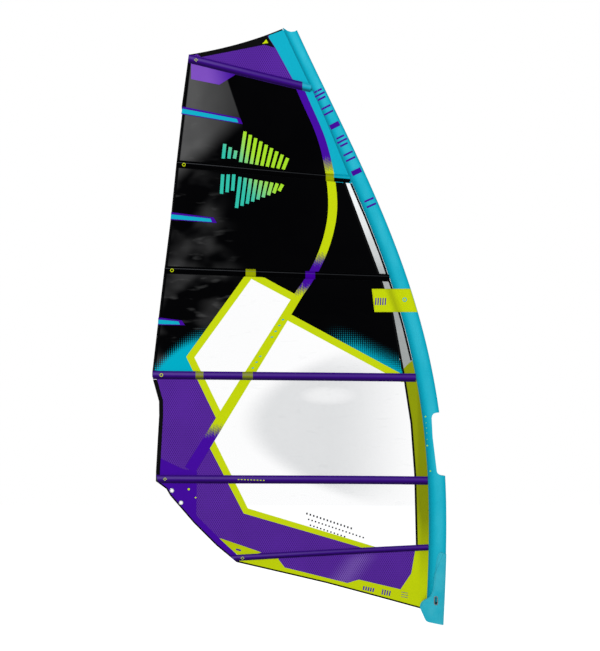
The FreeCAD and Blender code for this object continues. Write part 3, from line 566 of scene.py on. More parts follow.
def black_film_material():
    """Black laminate: a painted grey sheen in clouds by the leech, cyan print fading in a square grid."""
    s = Shader("black_film", 0.30, specular=0.02)
    # painted sheen: grey clouds and streaks by the leech
    clouds = s.noise(3.2, 2.0, 0.4, (1.0, 1.0, 1.6)).step(0.42, 0.74)
    streaks = s.noise(6.0, 2.0, 0.4, (1.0, 1.0, 3.5)).step(0.58, 0.76)
    grey = s.line(1.0, 0.25, 1.10).step(0.0, 0.32, 1.0, 0.0) * (clouds * 0.40 + streaks * 0.35)
    # a painted grey sheen on the pane between the head patch and batten 2, paler towards the leech
    head = s.line(1.0, 0.333, 0.238).step(0.0, -0.012) * s.line(1.0, -1.13, 6.04).step(0.06, -0.20)
    head = head * s.x.step(-1.60, -2.00, 0.45, 0.95)
    head = head * (s.noise(4.0, 2.0, 0.4, (1.6, 1.0, 0.8)) * 0.45 + 0.75)
    off_binding = s.line(1.0, -0.115, 2.502).step(0.020, 0.030)
    grey = s.math("MINIMUM", grey + head, 1.0) * off_binding
    base = s.mix(grey, BLACK, srgb(78, 78, 78))
    # the print follows the window's two upper frames
    left_frame = s.line(0.77, -0.64, 2.8775)
    low = left_frame.step(-0.24, -0.02) * s.z.step(2.05, 2.42, 1.0, 0.0)
    near_frame = left_frame.step(-0.27, -0.03) * s.z.step(1.9, 2.55, 1.0, 0.25)
    left = s.math("MINIMUM", low + near_frame * 0.55, 1.0) * s.x.step(-1.45, -1.60)
    right = s.line(-0.46, -0.89, 1.6225).step(-0.26, 0.08) * s.x.step(-1.10, -0.60)
    share = s.math("MAXIMUM", left, right)
    cells = s.math("GREATER_THAN", share * 1.05 + -0.02, s.weave(0.016))
    printed_film = s.mix((share + cells * 0.35).step(0.55, 1.05), base, CYAN)
    # the sliver between the lower edge of pocket 4 and the cut has the panel's purple
    (x0, z0), (x1, z1) = BATTEN[4]
    slope = (z1 - z0) / (x1 - x0)
    edge = s.line(-slope, 1.0, slope * x0 - z0 + POCKET_HALF[4])
    s.color(s.mix(s.math("LESS_THAN", edge, 0.0), printed_film, PURPLE_MESH))
    s.roughness(s.noise(3.0, 3.0).step(0.3, 0.7, 0.22, 0.38))
    return s.relief(s.noise(4.0, 3.0, 0.5, (1, 1, 2.5)) + s.weave(0.008) * 0.02, 0.006, 0.35)


FILM_HAZE, FILM_MILK_AND_REFLECTION = 0.012, 0.27    # how much of the window film is opaque: where clear, and where its milk and the painted grey reflection are at their strongest


def window_material():
    """Clear film: mostly see-through, with a painted grey reflection, a painted highlight in it, and faint
    handling creases.
    """
    s = Shader("window_film", 0.12, specular=0.5)
    # painted reflection: a soft grey area over the middle of the pane, its leech side curved
    from_middle = (s.z + -1.60).squared()
    grey = (s.x + from_middle * -2.2).step(-1.62, -1.34) * s.x.step(-0.10, -0.90)
    grey = grey * (s.z.step(0.85, 1.15) * s.z.step(2.26, 1.90))
    # painted highlight: a paler soft spot within the painted reflection
    grey = grey * (s.ellipse(-0.884, 1.815, 0.26, 0.085) * -0.55 + 1.0)
    milk = s.noise(1.1, 2.0, 0.4).step(0.35, 0.68)
    creases = s.noise(7.0, 3.0, 0.6, (1.0, 1.0, 4.0)).step(0.60, 0.70)
    share = (milk * 0.05 + grey) * FILM_MILK_AND_REFLECTION + FILM_HAZE + creases * 0.02
    # colour of the film's opaque share, which shows the painted grey reflection
    s.color((*srgb(184, 186, 188), 1.0))
    s.relief(s.noise(3.0, 3.0, 0.5, (1, 1, 2)), 0.004, 0.3)
    clear, mix = s.node("BsdfTransparent"), s.node("MixShader")
    clear.inputs["Color"].default_value = (0.997, 0.998, 1.0, 1)
    s.link(share, mix.inputs[0])
    for output, target in ((clear.outputs[0], mix.inputs[1]), (s.bsdf.outputs[0], mix.inputs[2]),
                           (mix.outputs[0], s.tree.nodes["Material Output"].inputs["Surface"])):
        s.tree.links.new(output, target)
    return s.material


def strip_material():
    """Clear luff strip with painted shade: whitish at its top and greyer below."""
    s = Shader("luff_strip_film", 0.25, specular=0.4)
    cloud = s.noise(5.0, 3.0).step(0.3, 0.7, -0.06, 0.06)
    # painted shade: greyer towards the bottom of the strip
    share = s.math("ADD", s.z.step(2.5, 3.45), cloud, clamp=True)
    s.color(s.mix(share, srgb(150, 154, 153), srgb(232, 234, 234)))
    return s.relief(s.noise(6.0, 3.0), 0.003, 0.3)


def patch_material():
    """Purple patch cloth, a little paler on the patch at the head."""
    s = Shader("purple_patch_cloth", 0.6, specular=0.06)
    threads = s.weave(0.0016)
    pale = s.z.step(4.22, 4.30) * s.line(1.0, 0.25, 0.72).step(0.20, -0.05)
    base = s.mix(pale * 0.55, PURPLE, srgb(150, 100, 205))
    return s.cloth(base, (threads + s.noise(6.0)) * 0.08, threads * 0.5 + s.noise(900.0, 2.0))


def band_material():
    """The load band: its print changes between purple and yellow through ragged rows."""
    s = Shader("load_band_cloth", 0.55, specular=0.06)
    ragged = s.z + (s.noise(60.0, 1.0, 0.5, (3.0, 1.0, 0.25)) + -0.5) * 0.12
    ragged = ragged + s.line(0.55, 0.83, 0.0).wave(0.018) * 0.018
    middle = ragged.step(2.62, 2.70) * ragged.step(2.96, 2.86)
    ends = s.math("MAXIMUM", ragged.step(3.59, 3.71), ragged.step(1.60, 1.50))
    share = s.math("MAXIMUM", middle, ends)
    change = s.math("COMPARE", share, 0.5, 0.42)
    base = s.mix(change * 0.35, s.mix(share, YELLOW, PURPLE), srgb(90, 70, 20))
    threads = s.weave(0.0012)
    return s.cloth(base, threads * 0.06, threads)


def tack_cloth_material():
    """Yellow cloth of the tack and foot, olive in the shade beside the sleeve above batten 6."""
    s = Shader("tack_cloth", 0.58, specular=0.06)
    threads = s.weave(0.0012)
    beside = (s.x + s.noise(2.0) * 0.01).step(-0.185, -0.125)
    shade = s.math("MULTIPLY", beside * 0.45 + s.z.step(0.45, 1.05), 0.85, clamp=True)
    base = s.mix(shade * s.z.step(0.25, 0.60), YELLOW, OLIVE)
    return s.cloth(base, (threads + s.noise(5.0)) * 0.06, threads + s.noise(40.0, 2.0), 0.0003)


def sleeve_material():
    """Cyan sleeve cloth: lighter along its crown with a painted highlight, darker towards its rear seam with
    painted shade, and a dark line at the seam.
    """
    s = Shader("sleeve_cloth", 0.6, specular=0.05)
    threads = s.weave(0.0014)
    cloud = s.noise(4.0, 4.0, 0.5, (2.0, 1.0, 0.7)).step(0.3, 0.7)
    place = s.math("ABSOLUTE", s.across())
    # painted highlight along the crown, patchy
    base = s.mix(place.window(0.28, 0.60, 0.14) * (cloud * 0.30 + 0.15), CYAN, CYAN_PAINTED_HIGHLIGHT)
    # painted shade towards the rear seam
    base = s.mix(place.step(0.55, 0.90) * 0.85, base, srgb(0, 128, 150))
    base = s.mix(place.window(0.955, 0.985, 0.006) * 0.8, base, srgb(0, 84, 104))
    s.color(s.mix(threads * 0.10, base, shaded(CYAN, 0.6)))
    return s.relief(threads * 0.05 + s.noise(9.0, 3.0, 0.5, (2.5, 1.0, 0.6)), 0.003, 0.4)


def fairing_material():
    """Padded cyan cover of the mast foot."""
    s = Shader("fairing_cloth", 0.55, specular=0.08)
    threads = s.weave(0.0016)
    base = s.mix(s.noise(6.0, 4.0).step(0.3, 0.7), srgb(30, 166, 188), srgb(60, 178, 196))
    s.color(s.mix(threads * 0.10, base, srgb(0, 110, 140)))
    return s.relief(threads * 0.08 + s.noise(12.0, 3.0), 0.003, 0.4)


def pocket_material(n, base, patches=()):
    """Pocket cloth: tight weave, ripples, the print of the panels it crosses, and painted light across the
    tube.

    A patch is (from x, to x, colour, on the upper half only)."""
    dark = n in BLACK_POCKETS
    s = Shader(f"pocket_cloth_{n}", 0.6, specular=0.01 if dark else 0.05)
    place = s.across()
    for low, high, color, upper_only in patches:
        share = s.x.window(low, high, 0.002)
        base = s.mix(share * place.step(0.0, 0.06) if upper_only else share, base, color)
    fade = s.x.step(BATTEN[n][0][0], BATTEN[n][1][0] - 0.3, 1.0, 0.45)
    if dark:
        # painted highlight: a thin grey line along the upper half of a black pocket, fading towards the luff
        base = s.mix(place.window(0.34, 0.46, 0.08) * fade * 0.5, base, srgb(96, 98, 102))
    else:
        # painted highlight on the upper half of a purple pocket, fading towards the luff
        base = s.mix(place.window(0.05, 0.60, 0.22) * fade * 0.12, base, srgb(190, 160, 235))
        # painted shade on the lower half of a purple pocket
        base = s.mix(place.step(0.05, -0.70) * 0.72, base, srgb(14, 0, 40))
    threads = s.weave(0.0010)
    ripples = s.noise(30.0, 2.0, 0.5, (1.0, 1.0, 0.3))
    return s.cloth(base, (threads + ripples) * 0.07, threads * 0.08 + ripples, 0.0012, 0.4)


def label_material():
    """Yellow label cloth, shaded where it dips behind the sleeve."""
    s = Shader("label_cloth", 0.5, specular=0.06)
    dip = s.line(1.0, 0.36, -0.570).window(-0.035, 0.015, 0.03)
    threads = s.weave(0.0012)
    return s.cloth(s.mix(dip * 0.55, YELLOW, OLIVE), threads * 0.06, threads)


def stripes_material():
    """Print that runs from teal to lime."""
    s = Shader("stripe_print", 0.5, specular=0.06)
    share = (s.line(0.9, 0.5, -0.36) + s.noise(8.0) * 0.1).step(0.0, 0.28)
    s.color(s.mix(share, TEAL, LIME))
    return s.relief(s.weave(0.0012), 0.0002, 0.4)


def thread_material(name, base):
    """Twisted sewing thread."""
    s = Shader(name, 0.7, specular=0.1)
    twist = s.line(1.0, 1.0, 0.0).wave(0.0014)
    s.color(s.mix(twist, base, shaded(base, 0.6)))
    return s.relief(twist, 0.0002, 0.6)


def plastic_material(name, base):
    """Moulded plastic with a fine grain and scuffs."""
    s = Shader(name, 0.5, specular=0.4, cad=True)
    scuff = s.noise(60.0, 4.0).step(0.55, 0.75)
    s.color(s.mix(scuff * 0.4, base, tuple(min(1.0, c * 2.2 + 0.02) for c in base)))
    s.roughness(scuff.step(0, 1, 0.42, 0.62))
    return s.relief(s.noise(1800.0, 2.0), 0.0001, 0.5)


def steel_material():
    """Brushed stainless steel."""
    s = Shader("brushed_steel", 0.3, metallic=1.0, cad=True)
    brush = s.noise(240.0, 3.0, 0.6, (0.15, 1.0, 1.0))
    s.color(s.mix(brush, (0.46, 0.47, 0.48), (0.68, 0.69, 0.71)))
    s.roughness(brush.step(0.3, 0.7, 0.2, 0.42))
    return s.relief(brush, 0.0001, 0.3)


def composite_material():
    """Wound carbon batten: dark with slanted fibre bands."""
    s = Shader("batten_composite", 0.3, specular=0.5, cad=True)
    bands = s.line(1.0, 0.6, 0.0).wave(0.009)
    share = bands * 0.5 + s.noise(300.0) * 0.3
    s.color(s.mix(share, (0.012, 0.012, 0.013), (0.05, 0.05, 0.055)))
    return s.relief(bands, 0.0002, 0.4)


def webbing_material():
    """Black webbing with ribs across it."""
    s = Shader("webbing_cloth", 0.75, specular=0.15)
    ribs, cross = s.z.wave(0.0022), s.x.wave(0.0030)
    s.color(s.mix(ribs * cross, (0.012, 0.012, 0.014), (0.045, 0.045, 0.05)))
    return s.relief(s.math("MAXIMUM", ribs, cross), 0.0005, 0.8)


MAT = {
    "xply": xply_material(),
    "black_film": black_film_material(),
    "window": window_material(),
    "strip": strip_material(),
    "yellow_tape": woven("yellow_tape", YELLOW, 0.0012, 0.06, 0.55),
    "band": band_material(),
    "black_tape": woven("black_binding", BLACK, 0.0014, 0.5, 0.7),
    "patch": patch_material(),
    "tack": tack_cloth_material(),
    "sleeve": sleeve_material(),
    "cyan": woven("cyan_panel_cloth", CYAN, 0.0012, 0.08, 0.62),
    "fairing": fairing_material(),
    "pocket_1": pocket_material(1, POCKET_PURPLE, [(-1.086, 0.0, CYAN, False)]),
    "pocket_2": pocket_material(2, BLACK, [(-0.900, -0.836, OLIVE_PRINT, False), (-0.836, 0.0, CYAN, True)]),
    "pocket_3": pocket_material(3, BLACK, [(-1.535, -1.455, OLIVE_PRINT, False),
                                           (-1.062, -0.985, PURPLE, False)]),
    "pocket_4": pocket_material(4, POCKET_PURPLE, [(-1.930, -1.868, OLIVE, False),
                                                   (-1.560, -1.478, OLIVE, False)]),
    "pocket_5": pocket_material(5, POCKET_PURPLE),
    "pocket_6": pocket_material(6, POCKET_PURPLE),
    "label": label_material(),
    "stripes": stripes_material(),
    "thread": thread_material("sewing_thread", srgb(96, 60, 170)),
    "thread_dark": thread_material("dark_thread", srgb(30, 32, 36)),
    "steel": steel_material(),
    "black_plastic": plastic_material("black_plastic", (0.02, 0.02, 0.022)),
    "grey_plastic": plastic_material("grey_plastic", (0.16, 0.17, 0.18)),
    "composite": composite_material(),
    "webbing": webbing_material(),
}

# ---- riding


def follow(obj, body):
    """Cloth of the last section rides its body; cloth of any other section only has its transform baked in,
    the bend towards the section above being worked out but not applied.
    """
    if body not in CUT_ABOVE:
        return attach(obj, body)
    above, high = SECTIONS[SECTIONS.index(body) + 1], CUT_ABOVE[body]
    (x0, z0), (x1, z1) = BATTEN[high]
    normal = np.array((z0 - z1, x1 - x0)) / math.hypot(x1 - x0, z1 - z0)
    middle = (x0 + x1) / 2
    end = np.array((middle, batten_z(high, middle))) - normal * (POCKET_HALF[high] + CUT_GAP)
    bottom = batten_z(high + 1, middle) + POCKET_HALF[high + 1]
    rise = (end[1] - bottom) * normal[1]
    start = end - normal * rise
    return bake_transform(obj)


# ---- sheet pieces
BAND_PATH = np.array([(-1.118, 4.280), (-0.944, 3.873), (-0.869, 3.570), (-0.848, 3.268),
                      (-0.943, 2.904), (-1.105, 2.632), (-1.975, 1.228)])
UNDER = 2.5 * MM                      # how far films and cloths run under their neighbours
TAPE_THICK = 1.3 * MM                 # a CAD tape thicker than this is binding
# material: (front face against the sheet's, thickness, both in millimetres; slot)
LAYER = {"black_tape": (-0.6, 1.9, "tape"), "band": (-0.5, 1.5, "tape"),
         "yellow_tape": (-0.4, 1.3, "tape"), "patch": (-0.3, 1.6, "purple_patch"),
         "tack": (-0.1, 1.0, "yellow_cloth"), "xply": (0.1, 0.45, "purple_xply"),
         "cyan": (-0.1, 0.8, "cyan_cloth"), "black_film": (0.15, 0.35, "black_xply"),
         "window": (0.2, 0.25, "clear_film"), "strip": (0.15, 0.35, "clear_film")}
ON_TOP = ("black_tape", "band", "yellow_tape", "patch")
CLOTHS = {"tack_panel": "tack", "clew_patch": "patch", "ply_panel_lower": "xply",
          "head_panel": "xply", "luff_panel_head": "cyan", "luff_window_upper": "strip"}
SHEET_NODES = ("tack_panel", "clew_patch", "window_", "ply_panel", "seam_tapes", "film_",
               "luff_window", "head_panel", "luff_panel")


def distance_to_path(points, path):
    """Each point's distance to the nearest edge of an open path."""
    best = np.full(len(points), np.inf)
    for a, b in zip(path, path[1:]):
        t = np.clip(((points - a) @ (b - a)) / ((b - a) @ (b - a)), 0, 1)
        gap = points - (a + t[:, None] * (b - a))
        best = np.minimum(best, np.hypot(gap[:, 0], gap[:, 1]))
    return best


def kind_of(node, outline, thickness):
    """(name ending, material) of a piece of sheet."""
    points = outline[0]
    centre = points.mean(0)
    if node.startswith("seam_tapes"):
        if thickness > TAPE_THICK:
            return "binding", "black_tape"
        on_band = distance_to_path(points, BAND_PATH).mean() < 0.06
        return ("load_band", "band") if on_band else ("window_tape", "yellow_tape")
    if node == "window_middle" and (rear_x(points[:, 1]) - points[:, 0]).max() < 0.22:
        return ("tack_cloth", "tack") if centre[1] < 2.07 else ("strip", "strip")
    if node == "head_panel" and centre[1] < batten_z(1, centre[0]):
        return "size_patch", "patch"
    if node in CLOTHS:
        return "cloth", CLOTHS[node]
    return ("pane", "window") if node.startswith("window") else ("film", "black_film")


def sheet_piece(name, outline, material):
    """One piece of cloth or film on the sail's surface."""
    if material not in ON_TOP:
        outline = [grown(tidy_loop(loop, SHEET_GRID), UNDER) for loop in outline]
    outline = [on_cuts(loop) for loop in outline]
    flat, faces = triangulate(outline, SHEET_GRID)
    x, z = flat[:, 0], flat[:, 1]
    low, thick, _ = LAYER[material]
    front = np.stack([x, sheet_y(x, z) + low * MM, z], axis=1)
    a, b, c = (front[faces[:, i]] for i in range(3))
    flipped = np.cross(b - a, c - a)[:, 1] > 0
    faces[flipped] = faces[flipped][:, ::-1]
    return skin_between(name, front, front + np.array((0, thick * MM, 0)), faces, material)


def sheets():
    for body, nodes in frame["record"]["behaviour"]["bodies"].items():
        for node in (node for node in nodes if node.startswith(SHEET_NODES)):
            groups = {}
            for i, (outline, thickness) in enumerate(front_sheets(node)):
                ending, material = kind_of(node, outline, thickness)
                piece = sheet_piece(f"{node}_{ending}_{i}", outline, material)
                groups.setdefault((ending, material), []).append(piece)
            for (ending, material), pieces in groups.items():
                placed(merged(f"{node}_{ending}", pieces), follow, body, node)


sheets()

# ---- luff sleeve
REACH = 0.155                         # length of cloth from the nose to the rear seam
SKIN = 1.2 * MM
FINE = 0.009
TIP_COVER = (15.5 * MM, 26 * MM)      # rise and half width of the sleeve over a batten tip
SLEEVE_FOOT = 0.190
CUTOUT_LOW = [(0.30, 1.182), (0.049, 1.182), (0.012, 1.187), (-0.002, 1.191), (-0.018, 1.203),
              (-0.024, 1.217)]
CUTOUT_HIGH = [(-0.057, 1.489), (-0.065, 1.640), (-0.060, 1.660), (-0.051, 1.673), (-0.032, 1.680),
               (-0.009, 1.683), (0.30, 1.683)]
HEAD_DIP = [(0.30, 4.708), (-1.118, 4.708), (-1.145, 4.693), (-1.176, 4.690), (-1.205, 4.700),
            (-1.236, 4.722), (-2.2, 4.722)]


def dense(points, step=6 * MM):
    return tidy_loop(np.array(points, float), step)


def seam_cut(n):
    """(rear x, height, rise per x) of the cut below batten n where it crosses the sleeve."""
    start, end = BATTEN[n]
    end = end - (end - start) * TIP_REACH / math.hypot(*(end - start))
    z = end[1] - POCKET_HALF[n] - CUT_GAP
    ahead = luff_x(z + 0.001) - luff_x(z - 0.001)
    return rear_x(z), z, -ahead / 0.002


def cut_points(n, gap):
    x0, z0, rise = seam_cut(n)
    return [(0.3, z0 + gap + rise * (0.3 - x0)), (x0, z0 + gap), (-2.5, z0 + gap)]


def sleeve_outline(body):
    """Side view of a section's piece of sleeve, running past the nose and the rear seam."""
    gap = 0.05 * MM
    if body == "lower_sail":
        start = [(-2.5, SLEEVE_FOOT), (0.30, SLEEVE_FOOT)] + CUTOUT_LOW + CUTOUT_HIGH
    else:
        start = cut_points(CUT_BELOW[body], gap)[::-1]
    end = HEAD_DIP if body == "head_sail" else cut_points(CUT_ABOVE[body], -gap)
    return start + end


def unrolled(outline, lead, width, side):
    """(u, z) of an outline on a tube, where u runs from the nose round one side."""
    points = dense(outline)
    x, z = points[:, 0], points[:, 1]
    wide = width(z)
    d = np.clip(luff_x(z) + lead - x, 0, wide)
    return np.stack([side * np.arccos(1 - 2 * d / wide) / math.pi * REACH, z], axis=1)


def tip_cover(x, z, share):
    """Half thickness that the sleeve needs over the batten tips."""
    rise = np.zeros_like(x)
    for n in BATTEN:
        off = np.clip(np.abs(z - batten_z(n, x)) / TIP_COVER[1], 0, 1)
        rise = np.maximum(rise, TIP_COVER[0] * (1 - off ** 3))
    return rise * smooth(share, 0.2, 0.45)


def folds(z, t):
    """Slight folds along the sleeve, none at its nose and seam."""
    return 0.9 * MM * np.sin(z * 41 + 3 * np.sin(z * 7)) * np.sin(math.pi * t)


def on_tube(u, z, side, lead, width, thickness, inset=0.0, cover=False):
    """Points of a tube round the mast; side is -1 on the -Y half and +1 on the other."""
    wide, thick = width(z), thickness(z)
    t = np.abs(u) / REACH
    q = (1 - np.cos(math.pi * t)) / 2
    d = inset + q * (wide - inset)
    half = np.maximum(aerofoil(d / wide, thick) - 1.15 * inset, 0.25 * MM)
    x = luff_x(z) + lead - d
    if cover:
        over = np.where(side < 0, np.maximum(tip_cover(x, z, q) - inset, 0), 0)
        half = (half ** 4 + over ** 4) ** 0.25
        half = half + folds(z, t)
    return np.stack([x, sail_y(x, z) + side * half, z], axis=1)


def turned(flat, faces):
    """Triangles turned to run anticlockwise in the flat pattern."""
    a, b, c = (flat[faces[:, i]] for i in range(3))
    area = (b[:, 0] - a[:, 0]) * (c[:, 1] - a[:, 1]) - (b[:, 1] - a[:, 1]) * (c[:, 0] - a[:, 0])
    faces = faces[np.abs(area) > 1e-12]
    area = area[np.abs(area) > 1e-12]
    faces[area < 0] = faces[area < 0][:, ::-1]
    return faces


def sleeve_thickness(z):
    return SLEEVE_RATIO * sleeve_width(z)


def sleeves():
    for body in SECTIONS:
        node = "luff_sleeve_" + body.split("_")[0]
        outline = sleeve_outline(body)
        loops = [unrolled(outline, 0.0, sleeve_width, side) for side in (-1, 1)]
        flat, faces = triangulate(loops, FINE)
        faces = turned(flat, faces)
        u, z = flat[:, 0], flat[:, 1]
        side = np.sign(u)
        outer, inner = (on_tube(u, z, side, 0.0, sleeve_width, sleeve_thickness, inset, True)
                        for inset in (0.0, SKIN))
        piece = skin_between(node + "_cloth", outer, inner, faces, "sleeve", u / REACH)
        placed(piece, follow, body, node)


def sleeve_y(x, z):
    """y of the sleeve's -Y face, or of the film behind the rear seam."""
    wide = sleeve_width(z)
    d = luff_x(z) - x
    q = np.clip(d / wide, 0, 1)
    half = np.maximum(aerofoil(q, SLEEVE_RATIO * wide), 0.25 * MM)
    half = (half ** 4 + tip_cover(x, z, q) ** 4) ** 0.25
    half = half + folds(z, np.arccos(1 - 2 * q) / math.pi)
    return np.where(d < wide, sail_y(x, z) - half, sheet_y(x, z))


sleeves()

# ---- tack fairing and flap
HEEL = [(-0.157, 0.138), (-0.155, 0.160), (-0.147, 0.180), (-0.130, 0.198), (-0.104, 0.211)]
TONGUE = [(-0.086, 0.224), (-0.071, 0.242), (-0.061, 0.262), (-0.055, 0.282), (-0.048, 0.316),
          (-0.044, 0.352), (-0.038, 0.410), (-0.033, 0.465), (-0.028, 0.510), (-0.020, 0.545),
          (-0.010, 0.566), (0.005, 0.580), (0.022, 0.576), (0.040, 0.564), (0.30, 0.564)]
FOOT_EDGE = [(0.30, 0.005), (0.027, 0.005), (-0.087, 0.027), (-0.105, 0.034), (-0.116, 0.048)]
FAIRING_LEAD, FAIRING_SKIN = 3 * MM, 2.5 * MM
FAIRING_SIZE, FAIRING_SNUG = (0.195, 0.084), (0.144, 0.064)     # width and thickness, low and high
FAIRING_TAPER = (0.230, 0.500)


def fairing_size(z, i):
    """The fairing's width (i = 0) or thickness (i = 1) at height z."""
    return FAIRING_SIZE[i] + (FAIRING_SNUG[i] - FAIRING_SIZE[i]) * smooth(z, *FAIRING_TAPER)


def fairing_width(z):
    return fairing_size(z, 0)


def fairing_thickness(z):
    return fairing_size(z, 1)


def oval(x, z, width, height, count=40):
    """Points round a slot with round ends."""
    r, straight = width / 2, height / 2 - width / 2
    angles = np.linspace(0, 2 * math.pi, count, endpoint=False)
    return [(x + r * math.cos(a), z + r * math.sin(a) + math.copysign(straight, math.sin(a)))
            for a in angles]


def fairing():
    outline = HEEL + TONGUE + FOOT_EDGE
    low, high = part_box("flap_eyelet")
    hole = oval((low.x + high.x) / 2, (low.z + high.z) / 2, high.x - low.x, high.z - low.z)
    for node, body, side in (("tack_fairing", "lower_sail", 1), ("tack_flap", "tack_flap", -1)):
        loops = [unrolled(outline, FAIRING_LEAD, fairing_width, side)]
        if side < 0:
            loops.append(unrolled(hole, FAIRING_LEAD, fairing_width, side))
        flat, faces = triangulate(loops, FINE)
        faces = turned(flat, faces)
        u, z = flat[:, 0], flat[:, 1]
        outer, inner = (on_tube(u, z, side, FAIRING_LEAD, fairing_width, fairing_thickness, inset)
                        for inset in (0.0, FAIRING_SKIN))
        for points in (outer, inner):
            nose = np.abs(points[:, 1] - sail_y(points[:, 0], points[:, 2])) < 0.5 * MM
            points[nose, 1] = sail_y(points[nose, 0], points[nose, 2]) + side * 0.5 * MM
        piece = skin_between(node + "_cloth", outer, inner, faces, "fairing", u / REACH)
        placed(piece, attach, body, node)


def fairing_y(x, z):
    """y of the flap's -Y face."""
    wide = fairing_width(z)
    half = aerofoil(np.clip((luff_x(z) + FAIRING_LEAD - x) / wide, 0, 1), fairing_thickness(z))
    return sail_y(x, z) - half


fairing()

# ---- batten pockets
POCKET_RISE, POCKET_GAP, POCKET_SKIN, HEM = 15 * MM, 0.3 * MM, 1 * MM, 4 * MM


def batten_frame(n):
    """(leech end, unit vector to the luff, length) of batten n."""
    start, end = BATTEN[n]
    length = math.hypot(*(end - start))
    return start, (end - start) / length, length - TIP_REACH


def pocket_rise(n, s, w):
    """Height of pocket n at s along it and w across it: a dome, small puckers at its stitching
    and a long slight wave."""
    across = np.clip(np.abs(w) / (POCKET_HALF[n] - HEM), 0, 1)
    dome = POCKET_RISE * (1 - across ** 3)
    pucker = 0.35 * MM * (1 + np.cos(s * 2 * math.pi / 0.022 + n)) * across ** 2
    wave = 0.5 * MM * np.sin(s * 23 + 2 * n) * (1 - across ** 2)
    return dome + pucker + wave


def leech_start(n):
    """Where pocket n starts at its lower edge and at its upper edge, along the batten."""
    start, along, _ = batten_frame(n)
    co = np.array([v.co for v in frame["nodes"][POCKET_NODE[n]].data.vertices])[:, [0, 2]] - start
    s = co @ along
    w = co @ np.array((-along[1], along[0]))
    half = POCKET_HALF[n]
    near = np.abs(w) < half * 1.02
    return [float(s[near & (w * sign > half * 0.9)].min()) for sign in (-1, 1)]


def grid_faces(rows, cols):
    """Triangles over a grid of points stored row by row."""
    index = np.arange(rows * cols).reshape(rows, cols)
    a, b, c, d = index[:-1, :-1], index[1:, :-1], index[1:, 1:], index[:-1, 1:]
    return np.concatenate([np.stack(corners, -1).reshape(-1, 3) for corners in ((a, b, c), (a, c, d))])


def pockets():
    for n in POCKET_NODE:
        start, along, length = batten_frame(n)
        up = np.array((-along[1], along[0]))
        low, high = leech_start(n)
        half = POCKET_HALF[n]
        across = np.array([-1, -0.95, -0.87, -0.78, -0.66, -0.5, -0.3, -0.1, 0.1, 0.3, 0.5, 0.66,
                           0.78, 0.87, 0.95, 1])
        rows = int(length / 0.008)
        t = np.linspace(0, 1, rows)
        w = np.tile(across * half, (rows, 1))
        first = low + (high - low) * (across + 1) / 2 + 1 * MM
        s = first[None, :] + (length - 2 * MM - first)[None, :] * t[:, None]
        place = start + s[..., None] * along + w[..., None] * up
        x, z = place[..., 0], place[..., 1]
        y = sheet_y(x, z) - POCKET_GAP - pocket_rise(n, s, w)
        inner = np.stack([x, y, z], axis=-1).reshape(-1, 3)
        outer = inner - np.array((0, POCKET_SKIN, 0))
        faces = grid_faces(rows, len(across))
        look = f"pocket_{n}"
        piece = skin_between(look + "_cloth", outer, inner, faces, look, np.tile(across, rows))
        slot = "black_pocket_cloth" if n in BLACK_POCKETS else "pocket_cloth"
        placed(piece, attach, BODY_OF[n], POCKET_NODE[n])


def pocket_y(n):
    """The -Y face of pocket n as a function of x and z."""
    start, along, _ = batten_frame(n)

    def face(x, z):
        s = (x - start[0]) * along[0] + (z - start[1]) * along[1]
        w = -(x - start[0]) * along[1] + (z - start[1]) * along[0]
        return sheet_y(x, z) - POCKET_GAP - pocket_rise(n, s, w) - POCKET_SKIN
    return face


pockets()


# ---- thin shapes on a surface
def thin(name, loops, face, lift, thick, material, step=0.012):
    """A thin closed shape whose back lies lift in front of a surface."""
    flat, faces = triangulate([np.array(loop, float) for loop in loops], step)
    faces = turned(flat, faces)
    x, z = flat[:, 0], flat[:, 1]
    y = face(x, z) - lift
    outer = np.stack([x, y - thick, z], axis=1)
    inner = np.stack([x, y, z], axis=1)
    return skin_between(name, outer, inner, faces, material)


def bar(x0, z0, x1, z1, width):
    """Outline of a straight bar between two points, in millimetres."""
    a, b = np.array((x0, z0)) * MM, np.array((x1, z1)) * MM
    side = np.array((-(b - a)[1], (b - a)[0])) / np.hypot(*(b - a)) * width * MM / 2
    return [a - side, b - side, b + side, a + side]


def ring(x, z, radius, hole, count=28):
    """Loops of a ring, or of a disc if hole is 0, in millimetres."""
    angles = np.linspace(0, 2 * math.pi, count, endpoint=False)
    loops = []
    for r in (radius, hole):
        if r:
            loops.append([((x + r * math.cos(a)) * MM, (z + r * math.sin(a)) * MM) for a in angles])
    return loops


def diamond(x, z, wide, tall, rim):
    """Loops of a diamond's rim, or of a full diamond if rim is 0, in millimetres."""
    loops = []
    for cut in (0, rim):
        a, b = wide / 2 - cut, tall / 2 - cut * tall / wide
        loops.append([((x + dx * a) * MM, (z + dz * b) * MM)
                      for dx, dz in ((1, 0), (0, 1), (-1, 0), (0, -1))])
    return loops if rim else loops[:1]


def decals(name, body, shapes, face, material, lift=0.9):
    """Printed shapes as one piece, lift millimetres in front of a surface."""
    parts = [thin(f"{name}_{i}", loops, face, lift * MM, 0.25 * MM, material)
             for i, loops in enumerate(shapes)]
    placed(merged(name, parts), follow, body)


